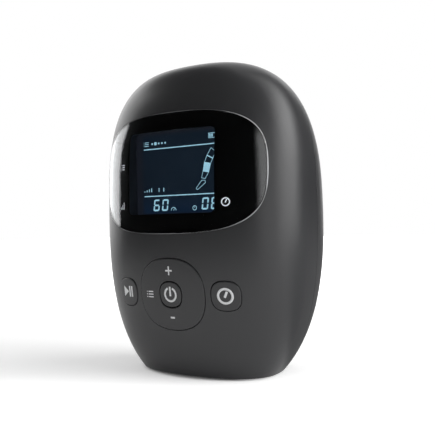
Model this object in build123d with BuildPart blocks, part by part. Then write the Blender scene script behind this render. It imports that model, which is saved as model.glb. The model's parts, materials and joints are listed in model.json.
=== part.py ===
"""Compression therapy pump: a hand-sized air pump for an inflatable leg sleeve.

Frame: +X to the user's right, the front faces -Y, +Z up. The origin is on the table,
under the middle of the housing. Millimetres.

Depths inside the housing are counted from the belly plane, the upright plane in which
the housing is widest: ahead() goes towards the keys, behind() towards the hose socket.
"""

import os
from math import asin, cos, radians, sin, tan

from build123d import *

os.makedirs("parts", exist_ok=True)

# ---------------------------------------------------------------- housing sizes
body_height = 170.0  # table to crown
body_width = 124.0
front_depth = 38.5  # belly plane to the front of the housing
back_depth = 51.5  # belly plane to the back of the housing
belly_height = 85.0  # height of the widest section
lower_reach = 100.0  # how far the lower curve would run down if the base didn't cut it
foot_height = 0.6  # gap between the base and the table
base_round = 1.2  # rounding of the base edge
wall = 2.5
seam_behind = 12.3  # parting plane, behind the belly plane
seam_gap = 0.25  # shadow line between the two shells
lip_depth = 1.6  # tongue that locates the shells
lip_gap = 0.1
inner_gap = 0.8  # least space between the wall and what is mounted inside

# how square each curve is: 2 is an ellipse, more is squarer
SECTION = {"front": 2.35, "back": 3.0}
RISE = {"width": 3.2, "front": 3.0, "back": 2.0}
FALL = {"width": 2.55, "front": 2.3, "back": 2.0}
FULL_REACH = {"width": body_width / 2, "front": front_depth, "back": back_depth}

belly_y = (front_depth - back_depth) / 2
sections_above, sections_below = 8, 6
crown_angle = 88.0  # the topmost section, as an angle up the curve

# ---------------------------------------------------------------- window and display
window_height = 108.4  # centre of the lens above the table
window_half_width = 52.0
window_half_height = 31.8
window_power = 3.2
lens_thickness = 1.5
lens_proud = 0.25
lens_gap = 0.12
lens_seat = 0.05  # adhesive under the lens
lens_chamfer = 0.3

display_height = 108.8
display_depth = 26.6  # its face, ahead of the belly plane
display_width, display_tall = 62.0, 50.0
display_corner = 1.5
panel_thickness = 1.8
backlight_thickness = 2.6
display_gap = 0.15
holder_wall = 1.6
holder_setback = 2.3  # the holder's rim behind the panel's face
holder_floor = 1.2

port_x = -0.4  # the opening behind the lens
port_width, port_tall, port_corner = 56.4, 45.5, 3.0
gasket_wall, gasket_gap = 1.8, 0.05

# ---------------------------------------------------------------- keys
key_proud = 0.4
key_round = 0.5
key_gap = 0.35
pad_height = 45.2  # centre of the directional key above the table
pad_half_width, pad_half_height, pad_power = 20.3, 18.8, 2.37
power_half_width, power_half_height, round_power = 6.8, 6.6, 2.4
side_key_x = 31.2
side_half, side_power = 7.5, 2.6
well_wall = 1.6
well_depth = 25.0  # back edge of the key wells, ahead of the belly plane
flange_overlap = 1.0
flange_thickness = 1.0
side_flange_gap = 0.1
pad_flange_gap = 0.8
power_flange_gap = 0.4  # behind the directional key's back edge
pad_skin = 2.0
pad_skirt = 1.6
pad_post_spread = 13.0
pad_post_radius = 2.0
pad_plunger_spread = 13.0
key_skirt = 1.4

# ---------------------------------------------------------------- main board
board_depth = 20.0  # its front face, ahead of the belly plane
board_thickness = 1.6
board_half_width = 49.0
board_low, board_high = 24.0, 141.0
board_gap = 1.0
board_spots = [(30.0, 30.0), (44.0, 75.0), (38.0, 134.0)]  # each also mirrored
board_boss_radius = 3.2
board_screw_radius = 1.1
board_screw_length = 6.0
screw_gap = 0.15
chip_height = 1.5

sheet_thickness = 0.8
plunger_radius = 3.2
plunger_gap = 0.5
plunger_tip_gap = 0.9  # to the board's contacts
web_thickness = 0.8
web_gap = 0.8  # room behind the directional key to tilt
post_seat_gap = 0.1
seat_radius = 2.6
sheet_margin = 3.0

# ---------------------------------------------------------------- pump
pump_x, pump_behind = -36.0, 18.0
motor_base, motor_length, motor_radius = 42.0, 31.0, 12.2
motor_boss_radius, motor_boss_height = 4.0, 1.4
terminal_spread, terminal_length = 7.0, 4.0
shaft_radius, running_gap = 1.0, 0.05
crank_radius, crank_height, crank_wall, crank_floor = 14.8, 17.0, 2.2, 2.0
hub_radius, hub_low, hub_height = 4.5, 76.5, 5.0
wobble_height = 87.0  # where the wobble plate's axis crosses the shaft's
wobble_tilt = 8.0
wobble_pin_radius = 0.75
plate_radius, plate_thickness = 9.5, 1.6
sleeve_radius, sleeve_length = 2.6, 5.0
plate_notch_radius, plate_notch_spread = 4.0, 11.5
diaphragm_thickness = 1.2
head_height = 12.0
lug_radius, lug_spread, lug_angle, lug_low = 2.6, 15.2, 30.0, 79.0
pump_screw_radius, pump_screw_length = 0.95, 22.0
pump_head_radius, pump_head_height = 1.7, 1.4
intake_radius, intake_depth, intake_spread = 0.9, 5.0, 7.0
port_radius, port_bore, port_length = 2.0, 1.2, 4.6
damper_heights = (46.0, 63.0)
damper_height, damper_thickness, damper_gap = 5.0, 2.0, 0.05
clip_thickness, clip_reach = 1.7, 6.0
bracket_half_width, bracket_low, bracket_high, bracket_thickness = 7.0, 44.0, 75.0, 2.4
bracket_screw_spread, bracket_screw_height = 8.0, 57.0
bracket_post_radius = 2.6
small_screw_radius, small_screw_length = 1.1, 7.0
small_head_radius, small_head_height = 1.9, 1.3

# ---------------------------------------------------------------- valves, manifold and hose socket
manifold_x = 10.0
valve_count, valve_pitch = 4, 10.0
valve_width, valve_depth, valve_height = 9.4, 12.0, 22.0
manifold_low, manifold_height, manifold_margin = 91.0, 12.0, 0.8
gallery_bore, valve_bore = 1.4, 1.0
plunger_bore, valve_plunger_radius, valve_plunger_length = 2.05, 1.98, 12.0
valve_travel, valve_seat_depth, valve_seat_gap = 0.8, 5.0, 0.1
tube_radius, tube_bore = 3.2, 2.05
tube_bend = 9.0
tube_end_gap = 0.05
socket_height = 119.0
socket_floor_behind = 40.5  # floor of the recess round the hose socket
recess_half_width, recess_half_height, recess_corner = 23.5, 8.5, 6.0
recess_wall = 2.5
recess_margin = 3.0
socket_half_width, socket_half_height, socket_corner = 20.8, 5.8, 2.0
socket_gap, socket_proud = 0.2, 1.5
socket_flange, socket_flange_thickness = 2.6, 2.0
socket_inner_behind = 32.0
hose_bore, hose_bore_length = 2.5, 8.0
sensor_width, sensor_depth, sensor_margin = 8.0, 5.0, 2.0

# ---------------------------------------------------------------- power board and charging socket
power_board_x, power_board_height = 30.0, 49.0  # its centre
power_board_width, power_board_tall = 32.0, 30.0
power_board_behind = 24.0
power_spots = [(17.5, 38.0), (42.5, 60.0)]
power_post_radius = 2.4
jack_x, jack_height = 28.0, 41.0
jack_width, jack_tall = 9.0, 11.0
jack_floor_behind = 41.8  # floor of the round recess
jack_recess_radius, jack_pad_radius, jack_pad_thickness = 6.5, 9.0, 2.5
jack_nose_radius, jack_gap = 4.2, 0.15
jack_bore, jack_bore_length = 2.85, 9.0
jack_pin_radius, jack_pin_length = 1.0, 8.4
jack_root_radius, jack_root_length = 1.5, 3.0
buzzer_radius, buzzer_height, buzzer_x, buzzer_z = 6.0, 6.0, 32.0, 118.0

# ---------------------------------------------------------------- battery
cell_radius, cell_length, cell_gap = 9.2, 65.0, 0.12
cell_pitch, cell_middle_behind = 19.0, 5.0
tray_thickness, tray_wall, tray_height, tray_gap = 1.6, 1.4, 9.0, 0.1
battery_board_length, battery_board_width, battery_board_thickness = 32.0, 12.0, 1.0

# ---------------------------------------------------------------- air intake
slot_count, slot_pitch, slot_length, slot_width = 5, 4.0, 20.0, 1.6
slot_height = 96.0

# ---------------------------------------------------------------- housing screws and feet
housing_spots = [(40.0, 28.0), (28.0, 149.0)]  # each also mirrored
housing_boss_radius = 4.6
insert_radius, insert_length, insert_gap = 2.3, 6.0, 0.02
housing_screw_radius = 1.5
housing_screw_seat = 8.0  # seat of the head, behind the seam
housing_screw_length = 14.0
housing_head_radius, housing_head_height = 2.75, 2.4
head_well_radius = 3.3
foot_radius = 4.0
foot_recess = 1.0
foot_gap = 0.1
foot_spots = [(24.0, -10.0), (20.0, 18.2)]  # (x, behind the belly plane), each also mirrored


def ahead(distance):
    """Y of a plane ahead of the belly plane."""
    return belly_y - distance


def behind(distance):
    """Y of a plane behind the belly plane."""
    return belly_y + distance


def facing(y):
    """Upright plane at Y that looks forward: its x is X, its y is Z."""
    return Plane.XZ.offset(-y)


def mirrored(spots):
    """The spots and their mirror images across the middle of the housing."""
    return [(side * x, other) for x, other in spots for side in (-1, 1)]


def handle(power):
    """Length of a Bezier handle, as a share of the side, for a curve of that squareness."""
    return (8 * 0.5 ** (1 / power) - 4) / 3


def fade(share, power):
    """What is left of a full reach at `share` of the way to the curve's end."""
    return max(1 - abs(share) ** power, 0) ** (1 / power)


def reach(side, z, inset):
    """From the belly axis to the surface on one side, at height z."""
    full = FULL_REACH[side] - inset
    if z >= belly_height:
        return full * fade((z - belly_height) / (body_height - belly_height - inset), RISE[side])
    return full * fade((belly_height - z) / (lower_reach - inset), FALL[side])


def section_heights(inset, base):
    """Heights of the loft's sections, closer together where the form turns in."""
    low, high = lower_reach - inset, body_height - inset - belly_height
    base_angle = asin(((belly_height - base) / low) ** (FALL["width"] / 2))
    steps_down = [base_angle * i / sections_below for i in range(sections_below, 0, -1)]
    steps_up = [radians(crown_angle) * i / sections_above for i in range(sections_above + 1)]
    return [belly_height - low * sin(a) ** (2 / FALL["width"]) for a in steps_down] + [
        belly_height + high * sin(a) ** (2 / RISE["front"]) for a in steps_up
    ]


def housing_form(inset, base):
    """The housing as a closed form, its surface moved in by `inset`, cut flat at `base`."""
    with BuildPart() as form:
        for z in section_heights(inset, base):
            half_width = reach("width", z, inset)
            with BuildSketch(Plane.XY.offset(z)):
                with BuildLine():
                    for side, way in (("front", -1), ("back", 1)):
                        depth = way * reach(side, z, inset)
                        grip = handle(SECTION[side])
                        for hand in (-1, 1):
                            Bezier(
                                (hand * half_width, belly_y),
                                (hand * half_width, belly_y + grip * depth),
                                (hand * grip * half_width, belly_y + depth),
                                (0, belly_y + depth),
                            )
                make_face()
        loft()
    return form.part


def soft_outline(plane, x, z, half_width, half_height, power):
    """A rounded outline between an ellipse and a rectangle, on an upright plane."""
    grip = handle(power)
    with BuildSketch(plane) as outline:
        with BuildLine():
            for side in (-1, 1):
                for end in (-1, 1):
                    Bezier(
                        (x + side * half_width, z),
                        (x + side * half_width, z + end * grip * half_height),
                        (x + side * grip * half_width, z + end * half_height),
                        (x, z + end * half_height),
                    )
        make_face()
    return outline.sketch


def window_outline(plane, grow):
    """The lens's outline, grown by a gap."""
    half_width, half_height = window_half_width + grow, window_half_height + grow
    return soft_outline(plane, 0, window_height, half_width, half_height, window_power)


def pad_outline(plane, grow):
    """The directional key's outline."""
    half_width, half_height = pad_half_width + grow, pad_half_height + grow
    return soft_outline(plane, 0, pad_height, half_width, half_height, pad_power)


def power_outline(plane, grow):
    """The power key's outline, in the middle of the directional key."""
    half_width, half_height = power_half_width + grow, power_half_height + grow
    return soft_outline(plane, 0, pad_height, half_width, half_height, round_power)


def side_outline(plane, x, grow):
    """The outline of a key beside the directional key."""
    return soft_outline(plane, x, pad_height, side_half + grow, side_half + grow, side_power)


through = body_width + front_depth + back_depth  # longer than anything it cuts

outer_form = housing_form(0, foot_height)
with BuildPart() as housing:
    add(outer_form)
    fillet(housing.edges().group_by(Axis.Z)[0], base_round)
cavity_form = housing_form(wall, foot_height + wall)
half_wall_form = housing_form(wall / 2, foot_height + wall / 2)
tongue_form = housing_form(wall / 2 + lip_gap, foot_height + wall / 2 + lip_gap)
clear_form = housing_form(wall + inner_gap, foot_height + wall + inner_gap)
gasket_form = housing_form(wall + gasket_gap, foot_height + wall)
key_skin_form = housing_form(-key_proud, foot_height)
key_hollow_form = housing_form(pad_skin - key_proud, foot_height)
lens_skin_form = housing_form(-lens_proud, foot_height)
lens_back_form = housing_form(lens_thickness - lens_proud, foot_height)
lens_seat_form = housing_form(lens_thickness - lens_proud + lens_seat, foot_height)

seam_y = behind(seam_behind)
board_front_y = ahead(board_depth)
board_back_y = board_front_y + board_thickness
well_y = ahead(well_depth)
display_y = ahead(display_depth)
backlight_y = display_y + panel_thickness
display_back_y = backlight_y + backlight_thickness

# ---------------------------------------------------------------- front shell
with BuildPart() as front_tongue:
    add(tongue_form)
    add(cavity_form, mode=Mode.SUBTRACT)
    split(bisect_by=facing(seam_y + lip_depth), keep=Keep.TOP)
    split(bisect_by=facing(seam_y - lip_depth), keep=Keep.BOTTOM)

with BuildPart() as front_ribs:
    # wells that guide the keys
    extrude(pad_outline(facing(well_y), key_gap + well_wall), amount=through)
    for x in (-side_key_x, side_key_x):
        extrude(side_outline(facing(well_y), x, key_gap + well_wall), amount=through)
    # posts for the main board
    with BuildSketch(facing(board_front_y)):
        with Locations(*mirrored(board_spots)):
            Circle(board_boss_radius)
    extrude(amount=through)
    # posts for the housing screws
    with BuildSketch(facing(seam_y)):
        with Locations(*mirrored(housing_spots)):
            Circle(housing_boss_radius)
    extrude(amount=through)
    add(half_wall_form, mode=Mode.INTERSECT)

with BuildPart() as lens_pocket:
    extrude(window_outline(facing(belly_y), lens_gap), amount=through)
    add(lens_seat_form, mode=Mode.SUBTRACT)

with BuildPart() as front_shell:
    add(housing.part)
    add(cavity_form, mode=Mode.SUBTRACT)
    split(bisect_by=facing(seam_y), keep=Keep.TOP)
    add(front_tongue.part)
    add(front_ribs.part)
    add(lens_pocket.part, mode=Mode.SUBTRACT)
    # opening behind the lens
    with BuildSketch(facing(display_y)):
        with Locations((port_x, display_height)):
            RectangleRounded(port_width, port_tall, port_corner)
    extrude(amount=through, mode=Mode.SUBTRACT)
    # key holes
    extrude(pad_outline(facing(well_y), key_gap), amount=through, mode=Mode.SUBTRACT)
    for x in (-side_key_x, side_key_x):
        extrude(side_outline(facing(well_y), x, key_gap), amount=through, mode=Mode.SUBTRACT)
    # pilot holes in the board posts
    with BuildSketch(facing(board_front_y)):
        with Locations(*mirrored(board_spots)):
            Circle(board_screw_radius + screw_gap)
    extrude(amount=board_screw_length, mode=Mode.SUBTRACT)
    # seats of the threaded inserts, and room for the screw tips below them
    with BuildSketch(facing(seam_y)):
        with Locations(*mirrored(housing_spots)):
            Circle(insert_radius)
    extrude(amount=insert_length, mode=Mode.SUBTRACT)
    with BuildSketch(facing(seam_y)):
        with Locations(*mirrored(housing_spots)):
            Circle(housing_screw_radius + screw_gap)
    extrude(amount=housing_screw_length, mode=Mode.SUBTRACT)
    # recesses for the front feet
    with BuildSketch(Plane.XY):
        with Locations(*[(x, behind(y)) for x, y in mirrored(foot_spots[:1])]):
            Circle(foot_radius + foot_gap)
    extrude(amount=foot_height + foot_recess, mode=Mode.SUBTRACT)
front_shell.part.label = "front_shell"
export_step(front_shell.part, "parts/front_shell.step")

# ---------------------------------------------------------------- window lens
with BuildPart() as window_lens:
    extrude(window_outline(facing(belly_y), 0), amount=through)
    add(lens_skin_form, mode=Mode.INTERSECT)
    add(lens_back_form, mode=Mode.SUBTRACT)
    chamfer(window_lens.faces().sort_by(Axis.Y)[0].outer_wire().edges(), lens_chamfer)
window_lens.part.label = "window_lens"
export_step(window_lens.part, "parts/window_lens.step")

# ---------------------------------------------------------------- keys
tip_y = board_front_y - plunger_tip_gap
side_flange_y = well_y + side_flange_gap
pad_flange_y = well_y + pad_flange_gap
pad_back_y = pad_flange_y + flange_thickness
power_flange_y = pad_back_y + power_flange_gap
web_front_y = pad_back_y + web_gap
web_back_y = web_front_y + web_thickness
pad_post_spots = [(0, pad_height - pad_post_spread), (0, pad_height + pad_post_spread)]
pad_plunger_spots = pad_post_spots + [
    (-pad_plunger_spread, pad_height),
    (pad_plunger_spread, pad_height),
]


def push_key(outline, x, flange_y):
    """A moulded key: rounded face, hollow skirt, centre post and retaining flange."""
    back_y = flange_y + flange_thickness
    with BuildPart() as core:
        extrude(outline(facing(back_y), -key_skirt), amount=through)
        with BuildSketch(facing(back_y)):
            with Locations((x, pad_height)):
                Circle(plunger_radius)
        extrude(amount=through, mode=Mode.SUBTRACT)
        add(key_hollow_form, mode=Mode.INTERSECT)
    with BuildPart() as key:
        extrude(outline(facing(back_y), 0), amount=through)
        add(key_skin_form, mode=Mode.INTERSECT)
        fillet(key.faces().sort_by(Axis.Y)[0].outer_wire().edges(), key_round)
        extrude(outline(facing(back_y), key_gap + flange_overlap), amount=flange_thickness)
        add(core.part, mode=Mode.SUBTRACT)
    return key.part


def push_plunger(x, flange_y):
    """The rubber plunger behind a push key."""
    with BuildPart() as plunger:
        with BuildSketch(facing(tip_y)):
            with Locations((x, pad_height)):
                Circle(plunger_radius)
        extrude(amount=tip_y - flange_y - flange_thickness)
    return plunger.part


for name, x in (("play", -side_key_x), ("timer", side_key_x)):
    side_key = push_key(lambda plane, grow: side_outline(plane, x, grow), x, side_flange_y)
    side_key.label = name + "_key"
    export_step(side_key, f"parts/{name}_key.step")
    side_plunger = push_plunger(x, side_flange_y)
    side_plunger.label = name + "_plunger"
    export_step(side_plunger, f"parts/{name}_plunger.step")

power_key = push_key(power_outline, 0, power_flange_y)
power_key.label = "power_key"
export_step(power_key, "parts/power_key.step")
power_plunger = push_plunger(0, power_flange_y)
power_plunger.label = "power_plunger"
export_step(power_plunger, "parts/power_plunger.step")

with BuildPart() as pad_core:
    extrude(pad_outline(facing(pad_back_y), -pad_skirt), amount=through)
    extrude(power_outline(facing(pad_back_y), key_gap + pad_skirt), amount=through, mode=Mode.SUBTRACT)
    with BuildSketch(facing(pad_back_y)):
        with Locations(*pad_post_spots):
            Circle(pad_post_radius)
    extrude(amount=through, mode=Mode.SUBTRACT)
    add(key_hollow_form, mode=Mode.INTERSECT)

with BuildPart() as dpad_key:
    extrude(pad_outline(facing(pad_back_y), 0), amount=through)
    extrude(power_outline(facing(pad_back_y), key_gap), amount=through, mode=Mode.SUBTRACT)
    add(key_skin_form, mode=Mode.INTERSECT)
    fillet(dpad_key.faces().sort_by(Axis.Y)[0].edges(), key_round)
    extrude(pad_outline(facing(pad_back_y), key_gap + flange_overlap), amount=flange_thickness)
    add(pad_core.part, mode=Mode.SUBTRACT)
    extrude(power_outline(facing(pad_back_y), key_gap), amount=flange_thickness, mode=Mode.SUBTRACT)
dpad_key.part.label = "dpad_key"
export_step(dpad_key.part, "parts/dpad_key.step")

with BuildPart() as dpad_rubber:
    extrude(pad_outline(facing(web_back_y), -pad_skirt), amount=web_thickness)
    hole = key_gap + flange_overlap + key_gap
    extrude(power_outline(facing(web_back_y), hole), amount=web_thickness, mode=Mode.SUBTRACT)
    with BuildSketch(facing(tip_y)):
        with Locations(*pad_plunger_spots):
            Circle(plunger_radius)
    extrude(amount=tip_y - web_back_y)
    with BuildSketch(facing(web_front_y)):
        with Locations(*pad_post_spots):
            Circle(seat_radius)
    extrude(amount=web_gap - post_seat_gap)
dpad_rubber.part.label = "dpad_rubber"
export_step(dpad_rubber.part, "parts/dpad_rubber.step")

with BuildPart() as keypad_sheet:
    with BuildSketch(facing(board_front_y)):
        with Locations((0, pad_height)):
            wide = 2 * (side_key_x + side_half + sheet_margin)
            RectangleRounded(wide, 2 * (pad_half_height + sheet_margin), sheet_margin)
        with Locations(*pad_plunger_spots, *[(x, pad_height) for x in (-side_key_x, 0, side_key_x)]):
            Circle(plunger_radius + plunger_gap, mode=Mode.SUBTRACT)
        with Locations(*mirrored(board_spots)):
            Circle(board_boss_radius + plunger_gap, mode=Mode.SUBTRACT)
        with Locations(*mirrored(housing_spots)):
            Circle(housing_boss_radius + board_gap, mode=Mode.SUBTRACT)
    extrude(amount=sheet_thickness)
    add(clear_form, mode=Mode.INTERSECT)
keypad_sheet.part.label = "keypad_sheet"
export_step(keypad_sheet.part, "parts/keypad_sheet.step")

# ---------------------------------------------------------------- display
with BuildPart() as display_panel:
    with BuildSketch(facing(backlight_y)):
        with Locations((0, display_height)):
            RectangleRounded(display_width, display_tall, display_corner)
    extrude(amount=panel_thickness)
display_panel.part.label = "display_panel"
export_step(display_panel.part, "parts/display_panel.step")

with BuildPart() as display_backlight:
    with BuildSketch(facing(display_back_y)):
        with Locations((0, display_height)):
            RectangleRounded(display_width, display_tall, display_corner)
    extrude(amount=backlight_thickness)
display_backlight.part.label = "display_backlight"
export_step(display_backlight.part, "parts/display_backlight.step")

with BuildPart() as display_gasket:
    with BuildSketch(facing(display_y - gasket_gap)):
        with Locations((port_x, display_height)):
            wide, tall = port_width + 2 * gasket_wall, port_tall + 2 * gasket_wall
            RectangleRounded(wide, tall, port_corner + gasket_wall)
            RectangleRounded(port_width, port_tall, port_corner, mode=Mode.SUBTRACT)
    extrude(amount=through)
    add(gasket_form, mode=Mode.INTERSECT)
display_gasket.part.label = "display_gasket"
export_step(display_gasket.part, "parts/display_gasket.step")

with BuildPart() as display_holder:
    inner_wide, inner_tall = display_width + 2 * display_gap, display_tall + 2 * display_gap
    with BuildSketch(facing(board_front_y)):
        with Locations((0, display_height)):
            outer_corner = display_corner + display_gap + holder_wall
            RectangleRounded(inner_wide + 2 * holder_wall, inner_tall + 2 * holder_wall, outer_corner)
    extrude(amount=board_front_y - display_y - holder_setback)
    with BuildSketch(facing(display_back_y)):
        with Locations((0, display_height)):
            RectangleRounded(inner_wide, inner_tall, display_corner + display_gap)
    extrude(amount=through, mode=Mode.SUBTRACT)
    # room for the board's parts below the floor
    with BuildSketch(facing(board_front_y)):
        with Locations((0, display_height)):
            Rectangle(inner_wide - 2 * holder_wall, inner_tall - 2 * holder_wall)
    extrude(amount=board_front_y - display_back_y - holder_floor, mode=Mode.SUBTRACT)
display_holder.part.label = "display_holder"
export_step(display_holder.part, "parts/display_holder.step")

# ---------------------------------------------------------------- main board
with BuildPart() as main_board:
    with BuildSketch(facing(board_back_y)):
        with Locations((0, (board_low + board_high) / 2)):
            Rectangle(2 * board_half_width, board_high - board_low)
        with Locations(*mirrored(board_spots)):
            Circle(board_screw_radius + screw_gap, mode=Mode.SUBTRACT)
        with Locations(*mirrored(housing_spots)):
            Circle(housing_boss_radius + board_gap, mode=Mode.SUBTRACT)
    extrude(amount=board_thickness)
    add(clear_form, mode=Mode.INTERSECT)
    # processor, driver and connector on the back
    with BuildSketch(facing(board_back_y)):
        with Locations((-8, 100)):
            Rectangle(12, 12)
        with Locations((14, 70)):
            Rectangle(8, 6)
        with Locations((-30, 62)):
            Rectangle(5, 16)
    extrude(amount=-chip_height)
main_board.part.label = "main_board"
export_step(main_board.part, "parts/main_board.step")


def upright_screws(spots, head_y, way, shank, head):
    """Screws along Y: their heads stand on the plane head_y, their shanks point `way`."""
    shank_radius, length = shank
    head_radius, head_height = head
    with BuildPart() as screws:
        with BuildSketch(facing(head_y)):
            with Locations(*spots):
                Circle(shank_radius)
        extrude(amount=-way * length)
        with BuildSketch(facing(head_y)):
            with Locations(*spots):
                Circle(head_radius)
        extrude(amount=way * head_height)
        with BuildSketch(facing(head_y - way * head_height)):
            with Locations(*spots):
                RegularPolygon(head_radius * 0.45, 6)
        extrude(amount=-way * head_height / 2, mode=Mode.SUBTRACT)
    return screws.part


# a screw's shank points forward where way is -1, backward where it is 1
board_screws = upright_screws(
    mirrored(board_spots),
    board_back_y,
    -1,
    (board_screw_radius, board_screw_length),
    (small_head_radius, small_head_height),
)
board_screws.label = "board_screws"
export_step(board_screws, "parts/board_screws.step")

with BuildPart() as buzzer:
    with BuildSketch(facing(board_back_y)):
        with Locations((buzzer_x, buzzer_z)):
            Circle(buzzer_radius)
    extrude(amount=-buzzer_height)
    with BuildSketch(facing(board_back_y + buzzer_height)):
        with Locations((buzzer_x, buzzer_z)):
            Circle(shaft_radius)
    extrude(amount=1, mode=Mode.SUBTRACT)
buzzer.part.label = "buzzer"
export_step(buzzer.part, "parts/buzzer.step")

# ---------------------------------------------------------------- rear shell
hose_floor_y = behind(socket_floor_behind)
jack_floor_y = behind(jack_floor_behind)
power_front_y = behind(power_board_behind)
power_back_y = power_front_y + board_thickness
pump_y = behind(pump_behind)
clip_outer = motor_radius + damper_thickness + damper_gap + clip_thickness
bracket_back_y = pump_y + clip_outer - clip_thickness / 2 + bracket_thickness
bracket_spots = [
    (pump_x - bracket_screw_spread / 2, bracket_screw_height),
    (pump_x + bracket_screw_spread / 2, bracket_screw_height),
]
seat_y = seam_y + housing_screw_seat
rear_split_y = seam_y + seam_gap

with BuildPart() as rear_groove:
    add(half_wall_form)
    split(bisect_by=facing(seam_y + lip_depth + lip_gap), keep=Keep.TOP)
    split(bisect_by=facing(seam_y), keep=Keep.BOTTOM)

with BuildPart() as rear_ribs:
    # posts for the housing screws, the pump's bracket and the power board
    with BuildSketch(facing(seam_y)):
        with Locations(*mirrored(housing_spots)):
            Circle(housing_boss_radius)
    extrude(amount=-through)
    with BuildSketch(facing(bracket_back_y)):
        with Locations(*bracket_spots):
            Circle(bracket_post_radius)
    extrude(amount=-through)
    with BuildSketch(facing(power_back_y)):
        with Locations(*power_spots):
            Circle(power_post_radius)
    extrude(amount=-through)
    # thicker wall behind the two recesses
    with BuildSketch(facing(hose_floor_y - recess_wall)):
        with Locations((manifold_x, socket_height)):
            wide, tall = recess_half_width + recess_margin, recess_half_height + recess_margin
            RectangleRounded(2 * wide, 2 * tall, recess_corner + recess_margin)
    extrude(amount=-through)
    with BuildSketch(facing(jack_floor_y - jack_pad_thickness)):
        with Locations((jack_x, jack_height)):
            Circle(jack_pad_radius)
    extrude(amount=-through)
    add(half_wall_form, mode=Mode.INTERSECT)

with BuildPart() as rear_shell:
    add(housing.part)
    add(cavity_form, mode=Mode.SUBTRACT)
    split(bisect_by=facing(rear_split_y), keep=Keep.BOTTOM)
    add(rear_groove.part, mode=Mode.SUBTRACT)
    add(rear_ribs.part)
    # recess and opening for the hose socket
    with BuildSketch(facing(hose_floor_y)):
        with Locations((manifold_x, socket_height)):
            RectangleRounded(2 * recess_half_width, 2 * recess_half_height, recess_corner)
    extrude(amount=-through, mode=Mode.SUBTRACT)
    with BuildSketch(facing(hose_floor_y - recess_wall)):
        with Locations((manifold_x, socket_height)):
            wide, tall = socket_half_width + socket_gap, socket_half_height + socket_gap
            RectangleRounded(2 * wide, 2 * tall, socket_corner + socket_gap)
    extrude(amount=-through, mode=Mode.SUBTRACT)
    # recess and hole for the charging socket
    with BuildSketch(facing(jack_floor_y)):
        with Locations((jack_x, jack_height)):
            Circle(jack_recess_radius)
    extrude(amount=-through, mode=Mode.SUBTRACT)
    with BuildSketch(facing(jack_floor_y - jack_pad_thickness)):
        with Locations((jack_x, jack_height)):
            Circle(jack_nose_radius + jack_gap)
    extrude(amount=-through, mode=Mode.SUBTRACT)
    # housing screws: clearance through the seat, then a well for the head
    with BuildSketch(facing(seam_y)):
        with Locations(*mirrored(housing_spots)):
            Circle(housing_screw_radius + screw_gap)
    extrude(amount=-housing_screw_seat, mode=Mode.SUBTRACT)
    with BuildSketch(facing(seat_y)):
        with Locations(*mirrored(housing_spots)):
            Circle(head_well_radius)
    extrude(amount=-through, mode=Mode.SUBTRACT)
    # pilot holes
    with BuildSketch(facing(bracket_back_y)):
        with Locations(*bracket_spots):
            Circle(small_screw_radius + screw_gap)
    extrude(amount=-small_screw_length, mode=Mode.SUBTRACT)
    with BuildSketch(facing(power_back_y)):
        with Locations(*power_spots):
            Circle(small_screw_radius + screw_gap)
    extrude(amount=-small_screw_length, mode=Mode.SUBTRACT)
    # air intake beside the pump
    with BuildSketch(facing(pump_y)):
        with Locations((pump_x, slot_height)):
            with GridLocations(slot_pitch, 0, slot_count, 1):
                SlotOverall(slot_length, slot_width, rotation=90)
    extrude(amount=-through, mode=Mode.SUBTRACT)
    # recesses for the rear feet
    with BuildSketch(Plane.XY):
        with Locations(*[(x, behind(y)) for x, y in mirrored(foot_spots[1:])]):
            Circle(foot_radius + foot_gap)
    extrude(amount=foot_height + foot_recess, mode=Mode.SUBTRACT)
rear_shell.part.label = "rear_shell"
export_step(rear_shell.part, "parts/rear_shell.step")

with BuildPart() as rubber_feet:
    with BuildSketch(Plane.XY):
        with Locations(*[(x, behind(y)) for x, y in mirrored(foot_spots)]):
            Circle(foot_radius)
    extrude(amount=foot_height + foot_recess)
    chamfer(rubber_feet.edges().group_by(Axis.Z)[0], foot_height / 2)
rubber_feet.part.label = "rubber_feet"
export_step(rubber_feet.part, "parts/rubber_feet.step")

housing_screws = upright_screws(
    mirrored(housing_spots),
    seat_y,
    -1,
    (housing_screw_radius, housing_screw_length),
    (housing_head_radius, housing_head_height),
)
housing_screws.label = "housing_screws"
export_step(housing_screws, "parts/housing_screws.step")

with BuildPart() as thread_inserts:
    with BuildSketch(facing(seam_y)):
        with Locations(*mirrored(housing_spots)):
            Circle(insert_radius - insert_gap)
            Circle(housing_screw_radius + insert_gap, mode=Mode.SUBTRACT)
    extrude(amount=insert_length)
thread_inserts.part.label = "thread_inserts"
export_step(thread_inserts.part, "parts/thread_inserts.step")

# ---------------------------------------------------------------- pump
motor_top = motor_base + motor_length
crank_top = motor_top + crank_height
head_low = crank_top + diaphragm_thickness
head_top = head_low + head_height
port_height = head_low + head_height / 2
pump_floor = Plane.XY.offset(motor_base)
wobble_plane = Plane(
    origin=(pump_x, pump_y, wobble_height),
    z_dir=(sin(radians(wobble_tilt)), 0, cos(radians(wobble_tilt))),
)
lug_angles = (lug_angle, lug_angle + 120, lug_angle + 240)


def lug_spots():
    """Centres of the pump's three screw lugs."""
    return [
        (pump_x + lug_spread * cos(radians(a)), pump_y + lug_spread * sin(radians(a)))
        for a in lug_angles
    ]


def pump_layer(low, high, lug_start):
    """A round layer of the pump's head with three screw lugs."""
    with BuildPart() as layer:
        with BuildSketch(Plane.XY.offset(low)):
            with Locations((pump_x, pump_y)):
                Circle(crank_radius)
        extrude(amount=high - low)
        with BuildSketch(Plane.XY.offset(lug_start)):
            with Locations(*lug_spots()):
                Circle(lug_radius)
        extrude(amount=high - lug_start)
        with BuildSketch(Plane.XY.offset(lug_start)):
            with Locations(*lug_spots()):
                Circle(pump_screw_radius + running_gap)
        extrude(amount=high - lug_start, mode=Mode.SUBTRACT)
    return layer.part


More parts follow.
